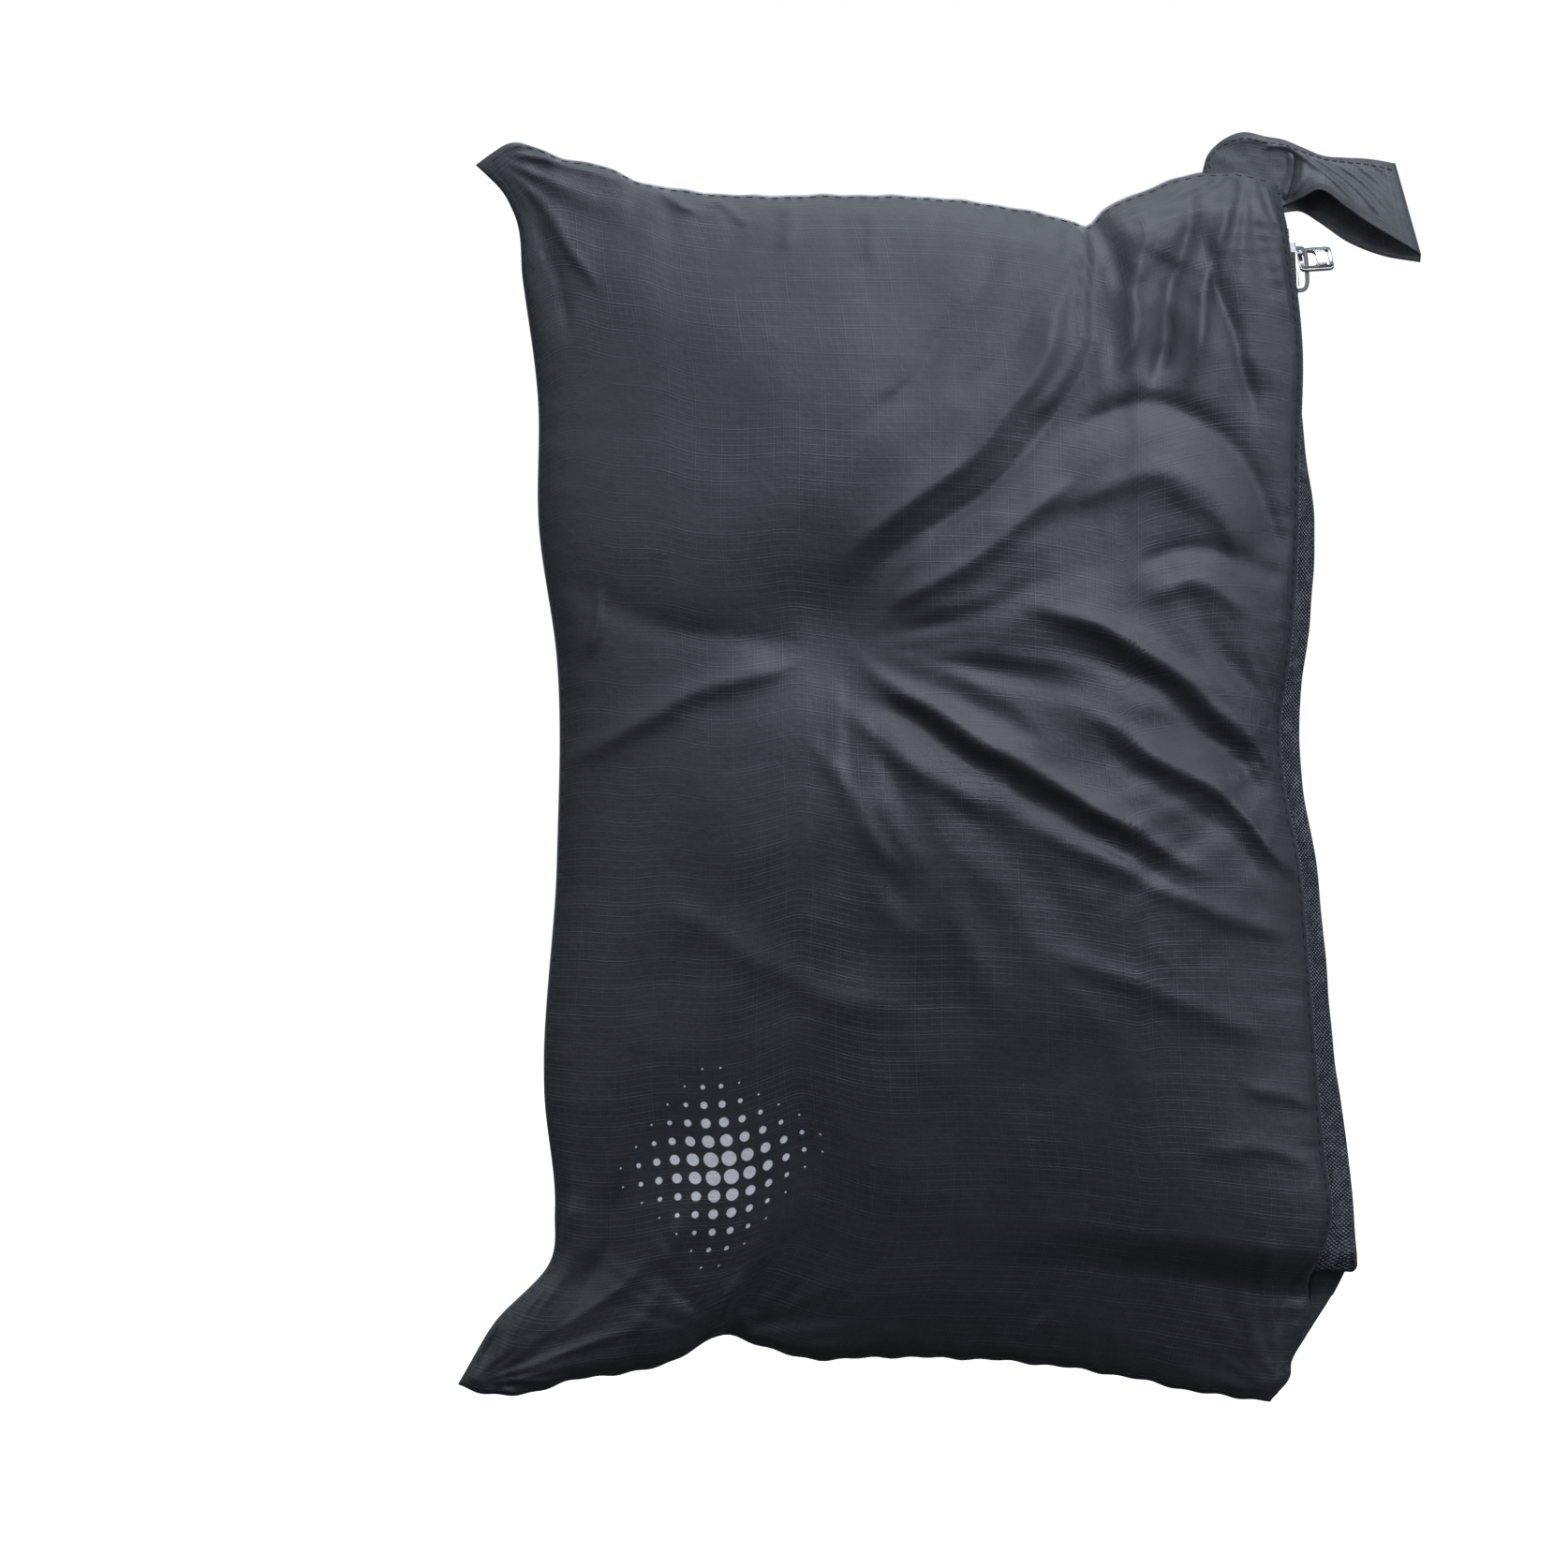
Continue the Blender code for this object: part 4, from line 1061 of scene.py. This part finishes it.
# %% The teeth
def teeth_row(word, side):
    """A row of teeth that reaches a little past the middle of the zip."""
    shape = bmesh.new()
    low, high = (corner.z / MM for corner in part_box(f"zipper_coil_{word}"))
    count = int((high - low) / PITCH)
    past_middle = 0.30
    in_tape = 0.15
    half_bar = (ROW_WIDTH + TEETH_BASE + past_middle + in_tape) / 2
    start = high - PITCH * (0.5 if side < 0 else 1.0)
    heights = np.array([start - PITCH * step for step in range(count)])
    bar = rounded_bar(f"teeth_{word}_bar", (TEETH_HEIGHT / 2, half_bar, 0.30), 7, 5)
    lean = Matrix.Rotation(math.radians(4 * side), 4, "X")
    for z, x in zip(heights, zip_centre(heights)):
        middle = Vector((x + TEETH_BASE + TEETH_HEIGHT / 2, side * (half_bar - past_middle), z)) * MM
        add_copy(shape, bar, Matrix.Translation(middle) @ lean)
    return on_the_sack(object_from(f"teeth_{word}", shape, nylon), "teeth", f"zipper_coil_{word}")


teeth = [teeth_row(word, side) for word, side in (("front", -1), ("back", 1))]
print("teeth:", [len(row.data.polygons) for row in teeth], "faces")

# %% [markdown]
# ## Sewing
#
# A lock stitch shows as a row of short dashes, each pressed a little into the cloth. A line drawn
# in the material would lie flat and have no shadow. Here each stitch is a small rounded bar laid
# on the cloth, turned to follow the seam. A ray is sent at the finished cloth to find the place
# and the slope of its surface, so the stitches lie on the folds and not on the plain outline.

# %% Stitches on cloth
from mathutils.bvhtree import BVHTree

STITCH_PROUD = 0.00006  # how far a stitch's middle stands off the cloth, in metres
SEAM_STITCH = rounded_bar("seam_stitch", (0.17, 0.95, 0.15), 6, 4)
CLOSING_PITCH, BAND_PITCH = 3.0, 1.9
CLOSING_STITCH = rounded_bar("closing_stitch", (0.13, 0.80, 0.10), 6, 4)
BAND_STITCH = rounded_bar("band_stitch", (0.20, 0.66, 0.14), 6, 4)


def surface_of(made):
    """What a ray meets of a finished piece."""
    return BVHTree.FromObject(made, bpy.context.evaluated_depsgraph_get())


def add_stitch(shape, bar, place, along, normal):
    """One stitch at a place, in metres."""
    along = along.normalized()
    across = along.cross(normal).normalized()
    turn = Matrix((across, along, normal.normalized())).transposed().to_4x4()
    add_copy(shape, bar, Matrix.Translation(place + normal * STITCH_PROUD) @ turn)


def evenly(points, pitch, ahead_by=0.3):
    """Places every pitch along a run of points, and the way on from each."""
    points = np.asarray(points, float)
    steps = np.linalg.norm(np.diff(points, axis=0), axis=1)
    run = np.concatenate([[0], np.cumsum(steps)])
    stops = np.arange(pitch / 2, run[-1], pitch)
    places = np.stack([np.interp(stops, run, points[:, axis]) for axis in range(points.shape[1])], axis=1)
    ahead = [np.interp(stops + ahead_by, run, points[:, axis]) for axis in range(points.shape[1])]
    return places, np.stack(ahead, axis=1) - places


def stitches_on(shape, surface, line, side, pitch=STITCH_PITCH, bar=SEAM_STITCH):
    """Stitches along a line of (x, z) points, dropped on a surface from the front or back."""
    places, ways = evenly(line, pitch)
    for (x, z), (way_x, way_z) in zip(places, ways):
        from_far = Vector((x * MM, side * 0.1, z * MM))
        hit, normal, face, gap = surface.ray_cast(from_far, Vector((0, -side, 0)))
        if hit is None:
            continue
        along = Vector((way_x, 0, way_z))
        along -= normal * along.dot(normal)
        add_stitch(shape, bar, hit, along, normal)


def sewn(name, shape, *cad_nodes):
    return on_the_sack(object_from(name, shape, thread_black), "thread", *cad_nodes)


front_surface = surface_of(front)
back_surface = surface_of(back)
seam_z = np.linspace(-4, zip_low - 1, 240)
seam_line = np.stack([panel_edge(seam_z) - SEAM_INSET, seam_z], axis=1)
for side, word, surface in ((-1, "front", front_surface), (1, "back", back_surface)):
    seam_shape = bmesh.new()
    stitches_on(seam_shape, surface, seam_line, side)
    sewn(f"stitches_{word}", seam_shape, f"zip_stitching_{word}")
print("zip seams sewn")

# %% The closing seam
SEAM_LINE_INSET = 1.1
closing_shape = bmesh.new()
share = np.linspace(0.012, 0.985, 160)
from_top = np.full_like(share, SEAM_LINE_INSET / CLOTH_HEIGHT)
from_bottom = np.full_like(share, 1 - SEAM_LINE_INSET / CLOTH_HEIGHT)
from_left = np.full_like(share, SEAM_LINE_INSET / CLOTH_WIDTH)
for side, surface in ((-1, front_surface), (1, back_surface)):
    for a, b in ((share, from_top), (share, from_bottom), (from_left, share)):
        line = np.stack(outline_place(a, b), axis=1)
        stitches_on(closing_shape, surface, line, side, CLOSING_PITCH, CLOSING_STITCH)
closing = sewn("closing_stitches", closing_shape, "closing_seam_thread")
print("closing seam:", len(closing.data.polygons), "faces")

# %% [markdown]
# ## The hang loop
#
# The loop is one band, sewn flat and stitched along its upper edge. Its ends are caught in the
# top seam and in the corner, where they stand up as a small hump, and its free part runs out to a
# fold at the tip and back. The two layers touch at the top and part along the lower edge, where a
# dark mouth shows between them.
#
# Two flat plates would look stiff. The band is one grid that runs out along the front layer,
# round the tip and back, laid between an upper and a lower edge for each layer, with its own
# creases.

# %% The band
BAND_TOP = ((-18.4, 3.4), (-17.0, 7.8), (-13.5, 11.2), (-8.8, 13.0), (-3.7, 12.0), (1.0, 11.1))
BAND_TOP += ((5.8, 9.1), (10.2, 7.3), (15, 6.9), (21, 6.6), (27.3, 5.6))
FRONT_LOW = ((-15.5, -1.5), (-13.5, -2.6), (-10.5, -3.6), (-7, -4.6), (-3, -5.2), (0.8, -4.6))
FRONT_LOW += ((5.0, -2.9), (9.4, -1.4), (15.5, -5.6), (22.5, -10.2), (33.4, -16.0))
BACK_LOW = ((-15.5, -1.5), (-13.5, -2.6), (-10.5, -3.6), (-7, -4.6), (-3, -5.6), (0.8, -6.0))
BACK_LOW += ((5.4, -5.6), (9.6, -7.8), (16.5, -12.6), (24.5, -15.9), (34.6, -18.0))
BAND_FOLDS = (
    (((2.2, 10), (3.0, 5), (2.2, 0), (0.6, -4)), -1.9, 1.3, 1.7),
    (((5.2, 8.6), (5.6, 4.5), (4.4, 0.5), (2.0, -3)), 1.1, 1.4, 1.6),
    (((-4, 9), (-1, 9.6), (3, 8.6), (8, 4.6), (13, 0.2), (18, -5)), 0.9, 1.3, 1.0),
    (((7, 7.2), (12, 4), (18, -1), (24, -8)), 0.8, 1.3, 1.0),
    (((12, 6), (18, 2), (24, -4), (30, -11)), 0.85, 1.4, 1.0),
    (((17, 6), (22, 2), (27, -3), (31, -9)), 0.7, 1.2, 0.9),
    (((22, 5.6), (26, 2), (29.5, -3)), 0.6, 1.1, 0.9),
    (((-11, 11), (-5, 11), (0, 8.6)), 0.4, 1.2, 2.6),
)
BAND_COLUMNS = 170
BAND_ROWS = 46
BAND_CLOTH = 0.00032
BAND_GAP = 0.35  # half the space between the two layers where they touch
LOOSE_FROM, LOOSE_OVER = 0.50, 0.20  # where the layers part, as shares of the way to the tip
FRONT_FLARE, BACK_FLARE = 4.6, 2.7  # the front layer stands further out at its lower edge


def edge_at(points, t):
    """A point of one of the band's edges at share t of its points."""
    return by_number(points, t * (len(points) - 1))


def band_point(s, t):
    """A point of the band: s from 0 to 1 out on the front and on to 2 at the back, t down."""
    out = np.where(s <= 1, s, 2 - s)
    side = np.where(s <= 1, -1.0, 1.0)
    top_x, top_z = edge_at(BAND_TOP, out)
    front_x, front_z = edge_at(FRONT_LOW, out)
    back_x, back_z = edge_at(BACK_LOW, out)
    low_x, low_z = np.where(s <= 1, front_x, back_x), np.where(s <= 1, front_z, back_z)
    x = top_x + t * (low_x - top_x)
    z = top_z + t * (low_z - top_z)
    loose = smooth_step((out - LOOSE_FROM) / LOOSE_OVER) * np.clip(1 - out, 0, 1) ** 0.35 * 1.5
    flare = np.where(s <= 1, FRONT_FLARE, BACK_FLARE)
    spread = BAND_GAP + loose * (0.5 + flare * smooth_step(t * 1.15) ** 1.2)
    spread *= np.clip((1 - out) * 14, 0, 1) ** 0.5
    crease = folds_height(x, z, BAND_FOLDS) * smooth_step(out * 6)
    tip = smooth_step((1 - out) * 9)
    ripple = small_noise(x * 0.7 + z * 0.7, z * 0.5 - x * 0.5, 3.2, 31.0) * 0.22
    y = side * (spread + (crease + ripple) * 0.8 * tip * smooth_step(out * 12))
    return x, y, z


def hang_band():
    shape = grid_shape(BAND_COLUMNS, BAND_ROWS)
    across, down = grid_shares(shape)
    x, y, z = band_point(across * 2, down)
    lay_grid(shape, in_metres(x, y, z), in_metres(across * 100, down * -19))
    made = object_from("hang_band", shape, band_painted_light_ripstop, 180)
    return cloth_wall(made, BAND_CLOTH, offset=0)


band = hang_band()
print("band:", len(band.data.polygons), "faces")

# %% The stitches of the band
band_surface = surface_of(band)
band_sewing = bmesh.new()
HEM = 0.085  # share of the band's width from its upper edge to the stitches
out = np.linspace(0.02, 0.985, 120)
for side, places in ((-1, out), (1, 2 - out)):
    x, y, z = band_point(places, np.full_like(places, HEM))
    stitches_on(band_sewing, band_surface, np.stack([x, z], axis=1), side, BAND_PITCH, BAND_STITCH)
down = np.linspace(0.10, 0.55, 30)
for side, inset in ((-1, 0.030), (-1, 0.075), (1, 2 - 0.030), (1, 2 - 0.075)):
    x, y, z = band_point(np.full_like(down, inset), down)
    stitches_on(band_sewing, band_surface, np.stack([x, z], axis=1), side, BAND_PITCH, BAND_STITCH)
band_stitches = object_from("band_stitches", band_sewing, thread_black)

loop_joint = next(joint for joint in frame["joints"] if joint["name"] == "hang_loop_swing")
outwards = Vector((-loop_joint["axis"][2], 0, loop_joint["axis"][0]))
for piece in (band, band_stitches):
    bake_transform(piece)
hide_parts("loop_base", "hang_loop")

# %% [markdown]
# ## The corner below the zip
#
# Below the zip the two panels aren't sewn together at once: a gusset of the same cloth closes the
# side, wide where the zip ends and running out to nothing at the bottom corner. It is slack, so a
# long crease runs down it. The zip's end is covered by a small folded tab.

# %% The gusset
GUSSET_EDGE = ((-288, -2.0), (-282, 2.7), (-279, 3.2), (-273, 6.9), (-269, 9.2), (-263.4, 12.5))
GUSSET_EDGE += ((-258.8, 15.3), (-256, 16.8), (-250, 17.2))
GUSSET_COLUMNS = 26
GUSSET_ROWS = 44


def corner_gusset():
    shape = grid_shape(GUSSET_COLUMNS, GUSSET_ROWS)
    across, down = grid_shares(shape)
    top, low = zip_low + 1.5, BOTTOM_SEAM[-1][1]
    z = top + (low - top) * down
    edge_x = panel_edge(z)
    half = SEAM_Y + zip_opening(z)
    round_it = np.sin(math.pi * across).clip(0) ** 0.8
    outer_x = through(GUSSET_EDGE, z)
    crease = small_noise(across * 6, z * 0.25, 2.4, 40.0) * 0.9 + 0.9 * bell((across - 0.36) * 9)
    x = edge_x - 0.35 + (outer_x - edge_x) * round_it + crease * round_it * 0.9 - 0.9 * round_it
    y = (across * 2 - 1) * (half - 0.3)
    lay_grid(shape, in_metres(x, y, z), in_metres(across * 16, z))
    bmesh.ops.reverse_faces(shape, faces=shape.faces)
    made = cloth_wall(object_from("corner_gusset", shape, ripstop, 180), CLOTH)
    return on_the_sack(made, "ripstop")


gusset = corner_gusset()
print("gusset:", len(gusset.data.polygons), "faces")

# %% The zip's end tab
tab_low, tab_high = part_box("zipper_end_tab")
TAB_HALF = 6.1  # half the tab's width, in millimetres
TAB_CLOTH = 0.0006


def end_tab():
    """A folded scrap of cloth over the zip's end, crowned and a little creased."""
    shape = grid_shape(14, 10)
    across, down = grid_shares(shape)
    z = tab_high.z / MM + (tab_low.z - tab_high.z) / MM * down
    y = (across * 2 - 1) * TAB_HALF
    crown = np.sin(math.pi * across).clip(0) ** 0.5 * np.sin(math.pi * down).clip(0) ** 0.35
    x = zip_centre(z) + 0.5 + 1.0 * crown + small_noise(y, z, 2.6, 50.0) * 0.25 * crown
    lay_grid(shape, in_metres(x, y, z), in_metres(y, z))
    bmesh.ops.reverse_faces(shape, faces=shape.faces)
    made = cloth_wall(object_from("end_tab", shape, knit, 180), TAB_CLOTH)
    return on_the_sack(made, "tape", "zipper_end_tab")


tab_piece = end_tab()
print("end tab:", len(tab_piece.data.polygons), "faces")

# %% [markdown]
# ## The metal
#
# The slider, its crown, its spring and the pull tab keep the model's own shapes, because they
# have to fit each other and the zip. They only get the plated finish. The stops do as well.

# %% Finishes for the model's own metal pieces
METAL_NODES = ("slider_body", "slider_crown", "slider_lock_spring", "pull_tab")
METAL_NODES += ("top_stop_front", "top_stop_back", "bottom_stop")
for name in METAL_NODES:
    nodes[name].data.materials.clear()
    nodes[name].data.materials.append(chrome)
print("plated:", len(METAL_NODES), "pieces")

# %% [markdown]
# ## The cut of the panels
#
# The two panels are cut a little larger than the flat sack, because they dome over the load.

print("done")
